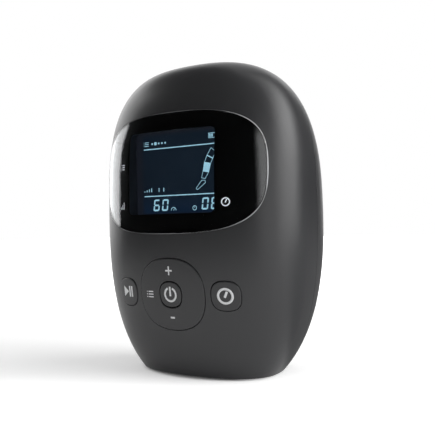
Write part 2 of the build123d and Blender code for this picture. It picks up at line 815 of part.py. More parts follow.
with BuildPart() as pump_motor:
    with BuildSketch(pump_floor):
        with Locations((pump_x, pump_y)):
            Circle(motor_radius)
    extrude(amount=motor_length)
    fillet(pump_motor.edges().filter_by(GeomType.CIRCLE), key_round)
    with BuildSketch(pump_floor.offset(motor_length)):
        with Locations((pump_x, pump_y)):
            Circle(motor_boss_radius)
    extrude(amount=motor_boss_height)
    with BuildSketch(pump_floor):
        with Locations((pump_x, pump_y)):
            Circle(motor_boss_radius)
    extrude(amount=-motor_boss_height)
    with BuildSketch(pump_floor):
        with Locations((pump_x - terminal_spread, pump_y), (pump_x + terminal_spread, pump_y)):
            Rectangle(0.5, 2.4)
    extrude(amount=-terminal_length)
    with BuildSketch(pump_floor.offset(motor_boss_height)):
        with Locations((pump_x, pump_y)):
            Circle(shaft_radius + running_gap)
    extrude(amount=motor_length, mode=Mode.SUBTRACT)
pump_motor.part.label = "pump_motor"
export_step(pump_motor.part, "parts/pump_motor.step")

with BuildPart() as pump_rotor:
    shaft_low = motor_base + 2 * motor_boss_height
    with BuildSketch(Plane.XY.offset(shaft_low)):
        with Locations((pump_x, pump_y)):
            Circle(shaft_radius)
    extrude(amount=hub_low - shaft_low)
    with BuildSketch(Plane.XY.offset(hub_low)):
        with Locations((pump_x, pump_y)):
            Circle(hub_radius)
    extrude(amount=hub_height)
    with BuildSketch(wobble_plane.offset(hub_low + hub_height / 2 - wobble_height)):
        Circle(wobble_pin_radius)
    extrude(amount=wobble_height - hub_low - hub_height / 2)
pump_rotor.part.label = "pump_rotor"
export_step(pump_rotor.part, "parts/pump_rotor.step")

with BuildPart() as wobble_plate:
    with BuildSketch(wobble_plane.offset(-plate_thickness / 2)):
        Circle(plate_radius)
        with PolarLocations(plate_notch_spread, 3, start_angle=180):
            Circle(plate_notch_radius, mode=Mode.SUBTRACT)
    extrude(amount=plate_thickness)
    with BuildSketch(wobble_plane.offset(-sleeve_length)):
        Circle(sleeve_radius)
    extrude(amount=sleeve_length)
    with BuildSketch(wobble_plane.offset(-sleeve_length)):
        Circle(wobble_pin_radius + running_gap)
    extrude(amount=sleeve_length + plate_thickness, mode=Mode.SUBTRACT)
wobble_plate.part.label = "wobble_plate"
export_step(wobble_plate.part, "parts/wobble_plate.step")

with BuildPart() as crank_housing:
    add(pump_layer(motor_top, crank_top, lug_low))
    with BuildSketch(Plane.XY.offset(motor_top + crank_floor)):
        with Locations((pump_x, pump_y)):
            Circle(crank_radius - crank_wall)
    extrude(amount=crank_height, mode=Mode.SUBTRACT)
    with BuildSketch(Plane.XY.offset(motor_top)):
        with Locations((pump_x, pump_y)):
            Circle(motor_boss_radius + running_gap)
    extrude(amount=crank_floor, mode=Mode.SUBTRACT)
crank_housing.part.label = "crank_housing"
export_step(crank_housing.part, "parts/crank_housing.step")

pump_diaphragm = pump_layer(crank_top, head_low, crank_top)
pump_diaphragm.label = "pump_diaphragm"
export_step(pump_diaphragm, "parts/pump_diaphragm.step")

head_side_x = pump_x + crank_radius
with BuildPart() as pump_head:
    add(pump_layer(head_low, head_top, head_low))
    # outlet port towards the manifold
    with BuildSketch(Plane.YZ.offset(pump_x)):
        with Locations((pump_y, port_height)):
            Circle(port_radius)
    extrude(amount=crank_radius + port_length)
    with BuildSketch(Plane.YZ.offset(pump_x)):
        with Locations((pump_y, port_height)):
            Circle(port_bore)
    extrude(amount=crank_radius + port_length, mode=Mode.SUBTRACT)
    # air intake holes
    with BuildSketch(Plane.XY.offset(head_top)):
        with Locations((pump_x, pump_y)):
            with PolarLocations(intake_spread, 3, start_angle=lug_angle + 60):
                Circle(intake_radius)
    extrude(amount=-intake_depth, mode=Mode.SUBTRACT)
pump_head.part.label = "pump_head"
export_step(pump_head.part, "parts/pump_head.step")

with BuildPart() as pump_screws:
    with BuildSketch(Plane.XY.offset(head_top)):
        with Locations(*lug_spots()):
            Circle(pump_screw_radius)
    extrude(amount=-pump_screw_length)
    with BuildSketch(Plane.XY.offset(head_top)):
        with Locations(*lug_spots()):
            Circle(pump_head_radius)
    extrude(amount=pump_head_height)
pump_screws.part.label = "pump_screws"
export_step(pump_screws.part, "parts/pump_screws.step")

with BuildPart() as pump_dampers:
    for low in damper_heights:
        with BuildSketch(Plane.XY.offset(low)):
            with Locations((pump_x, pump_y)):
                Circle(motor_radius + damper_thickness)
                Circle(motor_radius + damper_gap, mode=Mode.SUBTRACT)
        extrude(amount=damper_height)
pump_dampers.part.label = "pump_dampers"
export_step(pump_dampers.part, "parts/pump_dampers.step")

with BuildPart() as pump_bracket:
    # spring clips, open to the front, that snap round the dampers
    for low in damper_heights:
        with BuildSketch(Plane.XY.offset(low)):
            with Locations((pump_x, pump_y)):
                Circle(clip_outer)
                Circle(clip_outer - clip_thickness, mode=Mode.SUBTRACT)
            with Locations((pump_x, pump_y - clip_reach - clip_outer)):
                Rectangle(2 * clip_outer, 2 * clip_outer, mode=Mode.SUBTRACT)
        extrude(amount=damper_height)
    # back plate, screwed to the rear shell's posts
    with BuildSketch(facing(bracket_back_y)):
        with Locations((pump_x, (bracket_low + bracket_high) / 2)):
            Rectangle(2 * bracket_half_width, bracket_high - bracket_low)
        with Locations(*bracket_spots):
            Circle(small_screw_radius + screw_gap, mode=Mode.SUBTRACT)
    extrude(amount=bracket_thickness)
pump_bracket.part.label = "pump_bracket"
export_step(pump_bracket.part, "parts/pump_bracket.step")

bracket_screws = upright_screws(
    bracket_spots,
    bracket_back_y - bracket_thickness,
    1,
    (small_screw_radius, small_screw_length),
    (small_head_radius, small_head_height),
)
bracket_screws.label = "bracket_screws"
export_step(bracket_screws, "parts/bracket_screws.step")

# ---------------------------------------------------------------- valves and manifold
valve_places = [manifold_x + (i - (valve_count - 1) / 2) * valve_pitch for i in range(valve_count)]
valve_low = manifold_low - valve_height
seat_top = manifold_low - valve_seat_depth
manifold_top = manifold_low + manifold_height
manifold_half = (valve_count * valve_pitch) / 2 + manifold_margin

with BuildPart() as valve_bodies:
    for x in valve_places:
        with BuildSketch(Plane.XY.offset(valve_low)):
            with Locations((x, pump_y)):
                RectangleRounded(valve_width, valve_depth, key_round)
        extrude(amount=valve_height)
        # waist round the coil
        with BuildSketch(Plane.XY.offset(valve_low + valve_height / 4)):
            with Locations((x, pump_y)):
                Rectangle(2 * valve_width, 2 * valve_depth)
                Circle(valve_width / 2 - 0.2, mode=Mode.SUBTRACT)
        extrude(amount=valve_height / 2, mode=Mode.SUBTRACT)
        with BuildSketch(Plane.XY.offset(seat_top - valve_plunger_length - 2 * valve_travel)):
            with Locations((x, pump_y)):
                Circle(plunger_bore)
        extrude(amount=valve_plunger_length + 2 * valve_travel, mode=Mode.SUBTRACT)
        with BuildSketch(Plane.XY.offset(seat_top)):
            with Locations((x, pump_y)):
                Circle(valve_bore)
        extrude(amount=valve_seat_depth, mode=Mode.SUBTRACT)
valve_bodies.part.label = "valve_bodies"
export_step(valve_bodies.part, "parts/valve_bodies.step")

for number, x in enumerate(valve_places, start=1):
    with BuildPart() as valve_plunger:
        with BuildSketch(Plane.XY.offset(seat_top - valve_seat_gap)):
            with Locations((x, pump_y)):
                Circle(valve_plunger_radius)
        extrude(amount=-valve_plunger_length)
    valve_plunger.part.label = f"valve_plunger_{number}"
    export_step(valve_plunger.part, f"parts/valve_plunger_{number}.step")

manifold_left_x = manifold_x - manifold_half
with BuildPart() as manifold:
    with BuildSketch(Plane.XY.offset(manifold_low)):
        with Locations((manifold_x, pump_y)):
            RectangleRounded(2 * manifold_half, valve_depth, 1)
    extrude(amount=manifold_height)
    # inlet port, level with the pump's outlet
    with BuildSketch(Plane.YZ.offset(manifold_x)):
        with Locations((pump_y, port_height)):
            Circle(port_radius)
    extrude(amount=-manifold_half - port_length)
    with BuildSketch(Plane.XY.offset(manifold_top)):
        with Locations(*[(x, pump_y) for x in valve_places]):
            Circle(port_radius)
    extrude(amount=port_length)
    # gallery from the inlet, and one channel above each valve
    with BuildSketch(Plane.YZ.offset(manifold_left_x - port_length)):
        with Locations((pump_y, port_height)):
            Circle(gallery_bore)
    extrude(amount=port_length + 2 * manifold_half - 3 * manifold_margin, mode=Mode.SUBTRACT)
    with BuildSketch(Plane.XY.offset(manifold_low)):
        with Locations(*[(x, pump_y) for x in valve_places]):
            Circle(valve_bore)
    extrude(amount=manifold_height + port_length, mode=Mode.SUBTRACT)
manifold.part.label = "manifold"
export_step(manifold.part, "parts/manifold.step")

with BuildPart() as supply_tube:
    with BuildSketch(Plane.YZ.offset(head_side_x + tube_end_gap)):
        with Locations((pump_y, port_height)):
            Circle(tube_radius)
            Circle(tube_bore, mode=Mode.SUBTRACT)
    extrude(amount=manifold_left_x - head_side_x - 2 * tube_end_gap)
supply_tube.part.label = "supply_tube"
export_step(supply_tube.part, "parts/supply_tube.step")

with BuildPart() as outlet_tubes:
    for x in valve_places:
        low_end = (x, pump_y, manifold_top + tube_end_gap)
        far_end = (x, behind(socket_inner_behind) - tube_end_gap, socket_height)
        with BuildLine() as route:
            FilletPolyline(low_end, (x, pump_y, socket_height), far_end, radius=tube_bend)
        with BuildSketch(Plane.XY.offset(low_end[2])):
            with Locations((x, pump_y)):
                Circle(tube_radius)
                Circle(tube_bore, mode=Mode.SUBTRACT)
        sweep(path=route.wires()[0])
outlet_tubes.part.label = "outlet_tubes"
export_step(outlet_tubes.part, "parts/outlet_tubes.step")

socket_face_y = hose_floor_y + socket_proud
socket_inner_y = behind(socket_inner_behind)
socket_spots = [(x, socket_height) for x in valve_places]
with BuildPart() as hose_socket:
    with BuildSketch(facing(socket_face_y)):
        with Locations((manifold_x, socket_height)):
            RectangleRounded(2 * socket_half_width, 2 * socket_half_height, socket_corner)
    extrude(amount=socket_face_y - socket_inner_y)
    with BuildSketch(facing(hose_floor_y - recess_wall - socket_gap)):
        with Locations((manifold_x, socket_height)):
            wide, tall = socket_half_width + socket_flange, socket_half_height + socket_flange
            RectangleRounded(2 * wide, 2 * tall, socket_corner + socket_flange)
    extrude(amount=socket_flange_thickness)
    with BuildSketch(facing(socket_inner_y)):
        with Locations(*socket_spots):
            Circle(port_radius)
    extrude(amount=port_length)
    with BuildSketch(facing(socket_face_y)):
        with Locations(*socket_spots):
            Circle(hose_bore)
    extrude(amount=hose_bore_length, mode=Mode.SUBTRACT)
    with BuildSketch(facing(socket_face_y)):
        with Locations(*socket_spots):
            Circle(port_bore)
    extrude(amount=through, mode=Mode.SUBTRACT)
hose_socket.part.label = "hose_socket"
export_step(hose_socket.part, "parts/hose_socket.step")

with BuildPart() as pressure_sensor:
    sensor_spot = (manifold_x + manifold_half - sensor_margin - sensor_width / 2, port_height)
    with BuildSketch(facing(pump_y - valve_depth / 2)):
        with Locations(sensor_spot):
            Rectangle(sensor_width, sensor_width)
    extrude(amount=sensor_depth)
    with BuildSketch(facing(pump_y - valve_depth / 2 - sensor_depth)):
        with Locations(sensor_spot):
            Circle(sensor_width / 4)
    extrude(amount=port_bore)
pressure_sensor.part.label = "pressure_sensor"
export_step(pressure_sensor.part, "parts/pressure_sensor.step")

# ---------------------------------------------------------------- power board and charging socket
with BuildPart() as power_board:
    with BuildSketch(facing(power_back_y)):
        with Locations((power_board_x, power_board_height)):
            Rectangle(power_board_width, power_board_tall)
        with Locations(*power_spots):
            Circle(small_screw_radius + screw_gap, mode=Mode.SUBTRACT)
    extrude(amount=board_thickness)
    with BuildSketch(facing(power_front_y)):
        with Locations((power_board_x + 4, power_board_height + 8)):
            Rectangle(8, 8)
        with Locations((power_board_x, power_board_height - 8)):
            Rectangle(14, 6)
    extrude(amount=2 * chip_height)
power_board.part.label = "power_board"
export_step(power_board.part, "parts/power_board.step")

power_screws = upright_screws(
    power_spots,
    power_front_y,
    1,
    (small_screw_radius, small_screw_length),
    (small_head_radius, small_head_height),
)
power_screws.label = "power_screws"
export_step(power_screws, "parts/power_screws.step")

jack_body_y = jack_floor_y - jack_pad_thickness - inner_gap
with BuildPart() as charge_jack:
    with BuildSketch(facing(power_back_y)):
        with Locations((jack_x, jack_height)):
            Rectangle(jack_width, jack_tall)
    extrude(amount=power_back_y - jack_body_y)
    with BuildSketch(facing(jack_body_y)):
        with Locations((jack_x, jack_height)):
            Circle(jack_nose_radius)
    extrude(amount=jack_body_y - jack_floor_y)
    with BuildSketch(facing(jack_floor_y)):
        with Locations((jack_x, jack_height)):
            Circle(jack_bore)
    extrude(amount=jack_bore_length, mode=Mode.SUBTRACT)
    # seat of the centre pin
    with BuildSketch(facing(jack_floor_y)):
        with Locations((jack_x, jack_height)):
            Circle(jack_root_radius + insert_gap)
    extrude(amount=jack_bore_length + jack_root_length, mode=Mode.SUBTRACT)
charge_jack.part.label = "charge_jack"
export_step(charge_jack.part, "parts/charge_jack.step")

with BuildPart() as charge_pin:
    with BuildSketch(facing(jack_floor_y - jack_bore_length)):
        with Locations((jack_x, jack_height)):
            Circle(jack_pin_radius)
    extrude(amount=-jack_pin_length)
    with BuildSketch(facing(jack_floor_y - jack_bore_length)):
        with Locations((jack_x, jack_height)):
            Circle(jack_root_radius)
    extrude(amount=jack_root_length)
charge_pin.part.label = "charge_pin"
export_step(charge_pin.part, "parts/charge_pin.step")

# ---------------------------------------------------------------- battery
tray_low = foot_height + wall + tray_gap
cell_height = tray_low + tray_thickness + cell_gap + cell_radius
cell_places = [behind(cell_middle_behind + side * cell_pitch / 2) for side in (-1, 1)]

with BuildPart() as battery_cells:
    with BuildSketch(Plane.YZ.offset(-cell_length / 2)):
        with Locations(*[(y, cell_height) for y in cell_places]):
            Circle(cell_radius)
    extrude(amount=cell_length)
    # raised terminals
    with BuildSketch(Plane.YZ.offset(cell_length / 2)):
        with Locations(*[(y, cell_height) for y in cell_places]):
            Circle(cell_radius / 3)
    extrude(amount=cell_gap)
battery_cells.part.label = "battery_cells"
export_step(battery_cells.part, "parts/battery_cells.step")

with BuildPart() as battery_tray:
    tray_half_length = cell_length / 2 + 2 * cell_gap + tray_wall
    tray_half_width = cell_pitch / 2 + cell_radius + cell_gap + tray_wall
    with BuildSketch(Plane.XY.offset(tray_low)):
        with Locations((0, behind(cell_middle_behind))):
            RectangleRounded(2 * tray_half_length, 2 * tray_half_width, tray_wall)
    extrude(amount=tray_height)
    with BuildSketch(Plane.YZ.offset(-cell_length / 2 - cell_gap)):
        with Locations(*[(y, cell_height) for y in cell_places]):
            Circle(cell_radius + cell_gap)
    extrude(amount=cell_length + 3 * cell_gap, mode=Mode.SUBTRACT)
    add(housing_form(wall + tray_gap, tray_low), mode=Mode.INTERSECT)
battery_tray.part.label = "battery_tray"
export_step(battery_tray.part, "parts/battery_tray.step")

with BuildPart() as battery_board:
    half_gap = cell_pitch / 2 - battery_board_width / 2
    board_rest = cell_height + (cell_radius**2 - half_gap**2) ** 0.5 + cell_gap
    with BuildSketch(Plane.XY.offset(board_rest)):
        with Locations((0, behind(cell_middle_behind))):
            Rectangle(battery_board_length, battery_board_width)
    extrude(amount=battery_board_thickness)
battery_board.part.label = "battery_board"
export_step(battery_board.part, "parts/battery_board.step")
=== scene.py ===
"""Compression therapy pump: finishes, signs, lit display and studio for the pump's solids."""

import functools
import json
import math

import bmesh
import bpy
from bpy.props import FloatProperty, FloatVectorProperty, PointerProperty
from mathutils import Matrix, Vector
from mathutils.bvhtree import BVHTree


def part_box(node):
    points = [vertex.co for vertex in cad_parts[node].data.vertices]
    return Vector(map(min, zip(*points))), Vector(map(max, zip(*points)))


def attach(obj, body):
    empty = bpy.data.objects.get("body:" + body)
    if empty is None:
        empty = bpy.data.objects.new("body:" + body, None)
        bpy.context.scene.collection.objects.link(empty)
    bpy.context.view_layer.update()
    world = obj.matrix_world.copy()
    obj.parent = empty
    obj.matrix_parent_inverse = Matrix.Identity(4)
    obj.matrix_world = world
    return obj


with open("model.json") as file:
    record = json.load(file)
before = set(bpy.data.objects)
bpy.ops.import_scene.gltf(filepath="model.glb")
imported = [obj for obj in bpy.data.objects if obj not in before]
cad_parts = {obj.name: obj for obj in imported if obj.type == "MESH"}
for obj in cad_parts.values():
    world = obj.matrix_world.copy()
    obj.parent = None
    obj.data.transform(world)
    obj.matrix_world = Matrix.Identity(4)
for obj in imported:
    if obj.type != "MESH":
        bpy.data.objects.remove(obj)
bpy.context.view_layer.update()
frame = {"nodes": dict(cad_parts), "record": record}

bl_info = {
    "name": "Compression therapy pump",
    "version": (1, 0, 0),
    "blender": (4, 5, 0),
    "location": "3D View > Sidebar > Pump",
    "description": "Finishes, signs, lit display and studio for the pump's solids",
    "category": "Object",
}

MM = 0.001
CAST_FROM = 0.3  # a distance from the middle that is outside every piece
INK_GAP = 0.01 * MM  # printed ink stands this far off its surface


# ---- settings


def colour(name, description, default):
    return FloatVectorProperty(
        name=name, description=description, subtype="COLOR", size=3, min=0, max=1, default=default
    )


def length(name, description, default_mm):
    return FloatProperty(
        name=name, description=description, unit="LENGTH", min=0, precision=5,
        default=default_mm * MM,
    )


def level(name, description, default):
    return FloatProperty(name=name, description=description, min=0, default=default)


class PumpFinish(bpy.types.PropertyGroup):
    """Colours and grain of the housing and the keys"""

    shell_colour: colour("Shell", "Soft-touch plastic of both shells", (0.0295, 0.0299, 0.0318))
    key_colour: colour("Keys", "Soft-touch plastic of the keys", (0.0295, 0.0299, 0.0318))
    print_colour: colour("Print", "Ink of the signs on the keys", (0.76, 0.77, 0.78))
    grain_size: length("Grain", "Width of one bump of the moulded grain", 0.28)
    grain_depth: length("Grain depth", "Height of the moulded grain", 0.004)
    print_thickness: length("Ink", "Thickness of the printed signs", 0.02)


class PumpWindow(bpy.types.PropertyGroup):
    """The clear window and the black print on its back"""

    tint: colour("Tint", "Colour of the clear window", (0.93, 0.95, 0.97))
    # The rim's grey is a painted highlight, in place of the light that the window's bevel reflects.
    rim_colour: colour("Rim", "Cut edge of the window", (0.30, 0.31, 0.32))
    mask_colour: colour("Mask", "Black ink behind the window", (0.0006, 0.0006, 0.0007))
    sign_colour: colour("Signs", "White ink of the window's signs", (0.78, 0.79, 0.80))
    view_width: length("View width", "Width of the clear view in the mask", 54.6)
    view_height: length("View height", "Height of the clear view in the mask", 43.5)
    view_corner: length("View corner", "Corner radius of the clear view", 2.6)
    mask_gap: length("Mask gap", "From the window's back to the mask", 0.02)
    sign_gap: length("Sign gap", "From the window's back to its signs", 0.01)
    line: length("Line", "Line width of the window's signs", 0.6)


class PumpDisplay(bpy.types.PropertyGroup):
    """The lit page"""

    page_colour: colour("Page", "Dark of the lit page", (0.0040, 0.0092, 0.0168))
    # The border's glow is painted light: the page's light falling on the panel's edge.
    border_colour: colour("Border", "Edge of the panel outside the page", (0.0080, 0.0098, 0.0150))
    lit_colour: colour("Lit", "Lit lines and figures", (0.36, 0.66, 0.80))
    page_width: length("Page width", "Width of the lit page", 49.0)
    page_height: length("Page height", "Height of the lit page", 43.0)
    line: length("Line", "Thickness of the page's rules", 0.55)
    digit_height: length("Digits", "Height of the figures", 6.3)
    lift: length("Lift", "From the panel's face to the lit lines", 0.02)


class PumpStudio(bpy.types.PropertyGroup):
    """Floor, lamps and camera"""

    floor_size: length("Floor", "Side of the floor", 8000.0)
    floor_glow: level("Floor glow", "Light added to the floor where it is seen", 0.33)
    floor_gloss: level("Floor gloss", "Light added to the floor where gloss shows it", 0.22)
    front_light: level("Front light", "Light from the front, low down", 0.01)
    fill_light: level("Fill light", "Light from all sides that only matt surfaces show", 0.30)
    top_light: level("Top light", "Light from above", 0.05)
    left_light: level("Left light", "Brightest part of the white wall at the left", 2.3)
    right_light: level("Right light", "Brightest part of the white wall at the right", 4.4)
    strip_light: level("Strip light", "Low strip of light in front of the right wall", 1.6)
    key_lamp: level("Key lamp", "Power of the lamp at the right, in watts", 4.5)
    focal: level("Focal length", "Focal length of the camera, in millimetres", 54.43)


# ---- node helpers


def add(tree, kind, inputs=None, **settings):
    """A shader node with its settings made and its inputs set or linked."""
    made = tree.nodes.new("ShaderNode" + kind)
    for name, value in settings.items():
        setattr(made, name, value)
    for key, value in (inputs or {}).items():
        if isinstance(value, bpy.types.NodeSocket):
            tree.links.new(value, made.inputs[key])
        else:
            made.inputs[key].default_value = value
    return made


def maths(tree, operation, first, second=0.0):
    """One sum on two values."""
    return add(tree, "Math", {0: first, 1: second}, operation=operation).outputs[0]


def plus(tree, *values):
    """The sum of the values."""
    return functools.reduce(lambda total, value: maths(tree, "ADD", total, value), values)


def times(tree, *values):
    """The product of the values."""
    return functools.reduce(lambda total, value: maths(tree, "MULTIPLY", total, value), values)


def noise(tree, place, scale, **inputs):
    """A noise's value at that place, about 0.5 on the whole."""
    return add(tree, "TexNoise", {"Vector": place, "Scale": scale, **inputs}).outputs[0]


def object_place(tree, kind="Object"):
    """The point's place on the object, or its way from there, whole and as its three parts."""
    place = add(tree, "TexCoord").outputs[kind]
    return place, add(tree, "SeparateXYZ", {0: place}).outputs


def scaled(tree, tint, factor):
    """A colour made brighter or darker by a factor."""
    return add(tree, "VectorMath", {0: tint, "Scale": factor}, operation="SCALE").outputs[0]


def blend(tree, factor, first, second):
    """A colour between two, by a linked factor from 0 to 1."""
    mix = add(tree, "Mix", data_type="RGBA")
    for key, value in (("Factor_Float", factor), ("A_Color", first), ("B_Color", second)):
        socket = next(s for s in mix.inputs if s.identifier == key)
        if isinstance(value, bpy.types.NodeSocket):
            tree.links.new(value, socket)
        else:
            socket.default_value = (*value, 1)
    return next(s for s in mix.outputs if s.identifier == "Result_Color")


def stepped(tree, value, low, high, first=0.0, last=1.0):
    """Maps a value from one range to another, held at both ends."""
    inputs = {"Value": value, "From Min": low, "From Max": high, "To Min": first, "To Max": last}
    return add(tree, "MapRange", inputs, interpolation_type="SMOOTHSTEP").outputs[0]


LOOK = {"Color": "Color", "Roughness": "Float", "Height": "Float"}


def new_group(name, inputs):
    """A node group with these inputs, each a kind and a default, and the outputs of LOOK."""
    group = bpy.data.node_groups.new(name, "ShaderNodeTree")
    for label, (kind, default) in inputs.items():
        socket = group.interface.new_socket(label, in_out="INPUT", socket_type="NodeSocket" + kind)
        socket.default_value = default
    for label, kind in LOOK.items():
        group.interface.new_socket(label, in_out="OUTPUT", socket_type="NodeSocket" + kind)
    return group, group.nodes.new("NodeGroupInput").outputs, group.nodes.new("NodeGroupOutput")


def give(group, result, values):
    """Links the values to the group's outputs."""
    for name, value in values.items():
        group.links.new(value, result.inputs[name])


def moulded_grain():
    """Moulded or rubbery surface: fine grain, clouds in colour and shine, rubbed patches."""
    name = "Moulded grain"
    if name in bpy.data.node_groups:
        return bpy.data.node_groups[name]
    inputs = {
        "Color": ("Color", (0.5, 0.5, 0.5, 1)),
        "Clouds": ("Float", 0.08),
        "Grain": ("Float", 0.0003),
        "Roughness": ("Float", 0.5),
        "Rubbed": ("Float", 0.05),
    }
    group, given, result = new_group(name, inputs)
    place, _ = object_place(group)
    scale = maths(group, "DIVIDE", 1.0, given["Grain"])
    fine = noise(group, place, scale, Detail=2.0, Roughness=0.6)
    cells = add(group, "TexVoronoi", {"Vector": place, "Scale": scale}, feature="SMOOTH_F1")
    clouds = noise(group, place, 38.0, Detail=4.0, Roughness=0.55)
    smears = noise(group, place, 26.0, Detail=2.0, Roughness=0.4)
    sway = maths(group, "SUBTRACT", clouds, 0.5)
    tone = plus(group, times(group, sway, given["Clouds"]), 1.0)
    speck = plus(group, times(group, maths(group, "SUBTRACT", fine, 0.5), 0.04), tone)
    rubbed = times(group, stepped(group, smears, 0.4, 0.7), given["Rubbed"])
    rough = maths(group, "SUBTRACT", given["Roughness"], rubbed)
    give(group, result, {
        "Color": scaled(group, given["Color"], speck),
        "Roughness": plus(group, rough, times(group, sway, 0.06)),
        "Height": plus(group, times(group, fine, 0.6), cells.outputs["Distance"]),
    })
    return group


def worked_metal():
    """Rolled, drawn or turned metal: fine lines along one way, stains and dull spots."""
    name = "Worked metal"
    if name in bpy.data.node_groups:
        return bpy.data.node_groups[name]
    inputs = {
        "Color": ("Color", (0.6, 0.6, 0.6, 1)),
        "Line Scale": ("Vector", (900.0, 900.0, 60.0)),
        "Roughness": ("Float", 0.3),
        "Stains": ("Float", 0.12),
    }
    group, given, result = new_group(name, inputs)
    place, _ = object_place(group)
    drawn = add(group, "VectorMath", {0: place, 1: given["Line Scale"]}, operation="MULTIPLY")
    lines = noise(group, drawn.outputs[0], 4.0, Detail=4.0, Roughness=0.7)
    spots = noise(group, place, 260.0, Detail=3.0)
    stain = times(group, stepped(group, spots, 0.48, 0.72), given["Stains"])
    sway = maths(group, "SUBTRACT", lines, 0.5)
    tone = plus(group, maths(group, "SUBTRACT", 1.0, stain), times(group, sway, 0.2))
    give(group, result, {
        "Color": scaled(group, given["Color"], tone),
        "Roughness": plus(group, given["Roughness"], stain, times(group, sway, 0.25)),
        "Height": lines,
    })
    return group


def new_material(name):
    """An empty material and its node tree."""
    material = bpy.data.materials.new(name)
    material.use_nodes = True
    tree = material.node_tree
    tree.nodes.clear()
    return material, tree


def grouped(tree, group, values):
    """The outputs of a group with these plain values on its inputs."""
    made = add(tree, "Group", node_tree=group)
    for key, value in values.items():
        made.inputs[key].default_value = value
    return made.outputs


def bumped(tree, height, depth):
    """The normal of a surface that rises by the height times the depth."""
    return add(tree, "Bump", {"Height": height, "Distance": depth}).outputs[0]


def finish_surface(tree, shader_inputs):
    """Ends the material in one shader with these inputs."""
    shader = add(tree, "BsdfPrincipled", shader_inputs)
    add(tree, "OutputMaterial", {"Surface": shader.outputs[0]})


def from_group(name, group, values, depth, **shader):
    """A material whose colour, shine and bump come from a group; made once for each name."""
    if name in bpy.data.materials:
        return bpy.data.materials[name]
    material, tree = new_material(name)
    look = grouped(tree, group(), values)
    finish_surface(tree, {
        "Base Color": look["Color"],
        "Roughness": look["Roughness"],
        "Normal": bumped(tree, look["Height"], depth),
        **{key.replace("_", " "): value for key, value in shader.items()},
    })
    return material


def moulded(name, tone, rough=0.5, grain=0.3, depth=0.004, clouds=0.08, rubbed=0.05, **shader):
    """Plastic or rubber with the moulded grain, that wide and deep in millimetres."""
    values = {"Color": (*tone, 1), "Clouds": clouds, "Roughness": rough, "Rubbed": rubbed}
    return from_group(name, moulded_grain, {**values, "Grain": grain * MM}, depth * MM, **shader)


def metal(name, tone, rough=0.3, lines=(900, 900, 60), stains=0.12):
    """Bare or plated metal with its working lines."""
    values = {"Color": (*tone, 1), "Line Scale": lines, "Roughness": rough, "Stains": stains}
    return from_group(name, worked_metal, values, 0.002 * MM, Metallic=1.0)


def wear(material, *nodes):
    """Gives these CAD nodes the material."""
    for name in nodes:
        for place in frame["nodes"][name].material_slots:
            place.material = material


# ---- drawing helpers
# Signs are drawn flat, across and up, then stood up to face the front.


def mm(*values):
    """Millimetres as metres."""
    return tuple(value * MM for value in values)


def draw_bar(bm, centre, size, turn=0.0, chamfer=0.0):
    """A flat bar: centre and size as (across, up)."""
    place = Matrix.Translation((*centre, 0)) @ Matrix.Rotation(turn, 4, "Z")
    place = place @ Matrix.Diagonal((*size, 1, 1))
    made = bmesh.ops.create_grid(bm, x_segments=1, y_segments=1, size=0.5, matrix=place)
    if chamfer:
        bmesh.ops.bevel(
            bm, geom=made["verts"], offset=chamfer, segments=2, affect="VERTICES", profile=0.5,
            material=-1,
        )


def draw_ring(bm, centre, radius, line, start=0.0, sweep=math.tau, steps=40):
    """A flat ring or arc of that middle radius and line width."""
    middle = Vector((*centre, 0))
    spots = [middle + Vector((radius + side * line / 2, 0, 0)) for side in (-1, 1)]
    ends = [bm.verts.new(spot) for spot in spots]
    edge = bm.edges.new(ends)
    bmesh.ops.rotate(bm, verts=ends, cent=middle, matrix=Matrix.Rotation(start, 3, "Z"))
    bmesh.ops.spin(
        bm, geom=[*ends, edge], cent=middle, axis=(0, 0, 1), angle=sweep, steps=steps,
        use_merge=sweep == math.tau,
    )


def draw_shape(bm, corners, line=0.0):
    """A flat many-cornered shape, filled, or as an outline of that line width."""
    face = bm.faces.new([bm.verts.new((across, up, 0)) for across, up in corners])
    face.normal_update()
    if face.normal.z < 0:
        face.normal_flip()
    if line:
        bmesh.ops.inset_individual(bm, faces=[face], thickness=line, use_even_offset=True)
        bmesh.ops.delete(bm, geom=[face], context="FACES_ONLY")


def draw_dial(bm, centre, radius, line):
    """The timer sign: a ring with one short hand."""
    draw_ring(bm, centre, radius, line)
    lean, hand, off = math.radians(24), radius * 0.95, radius * 0.24
    middle = (centre[0] + math.sin(lean) * off, centre[1] + math.cos(lean) * off)
    draw_bar(bm, middle, (line, hand), turn=-lean, chamfer=line * 0.2)


def draw_list(bm, centre, size, line):
    """The page sign: three rows, each with a dot."""
    wide, tall = size
    for row in (-1, 0, 1):
        up = centre[1] + row * (tall - line) / 2
        draw_bar(bm, (centre[0] - wide / 2 + line / 2, up), (line, line), chamfer=line * 0.25)
        draw_bar(bm, (centre[0] + line, up), (wide - 2 * line, line), chamfer=line * 0.25)


def draw_steps(bm, left, foot, size, line, count=3):
    """The strength sign: upright bars, each taller than the last."""
    wide, tall = size
    for number in range(count):
        high = tall * (number + 1) / count
        across = left + line / 2 + number * (wide - line) / (count - 1)
        draw_bar(bm, (across, foot + high / 2), (line, high))


# The bars of the figures in use, a to f clockwise from the top; g is the middle one.
DIGIT_BARS = {"0": "abcdef", "6": "afgedc"}
DIGIT_SLANT = math.radians(7)
DIGIT_LINE, DIGIT_WIDTH = 0.135, 0.635  # for a figure of height 1


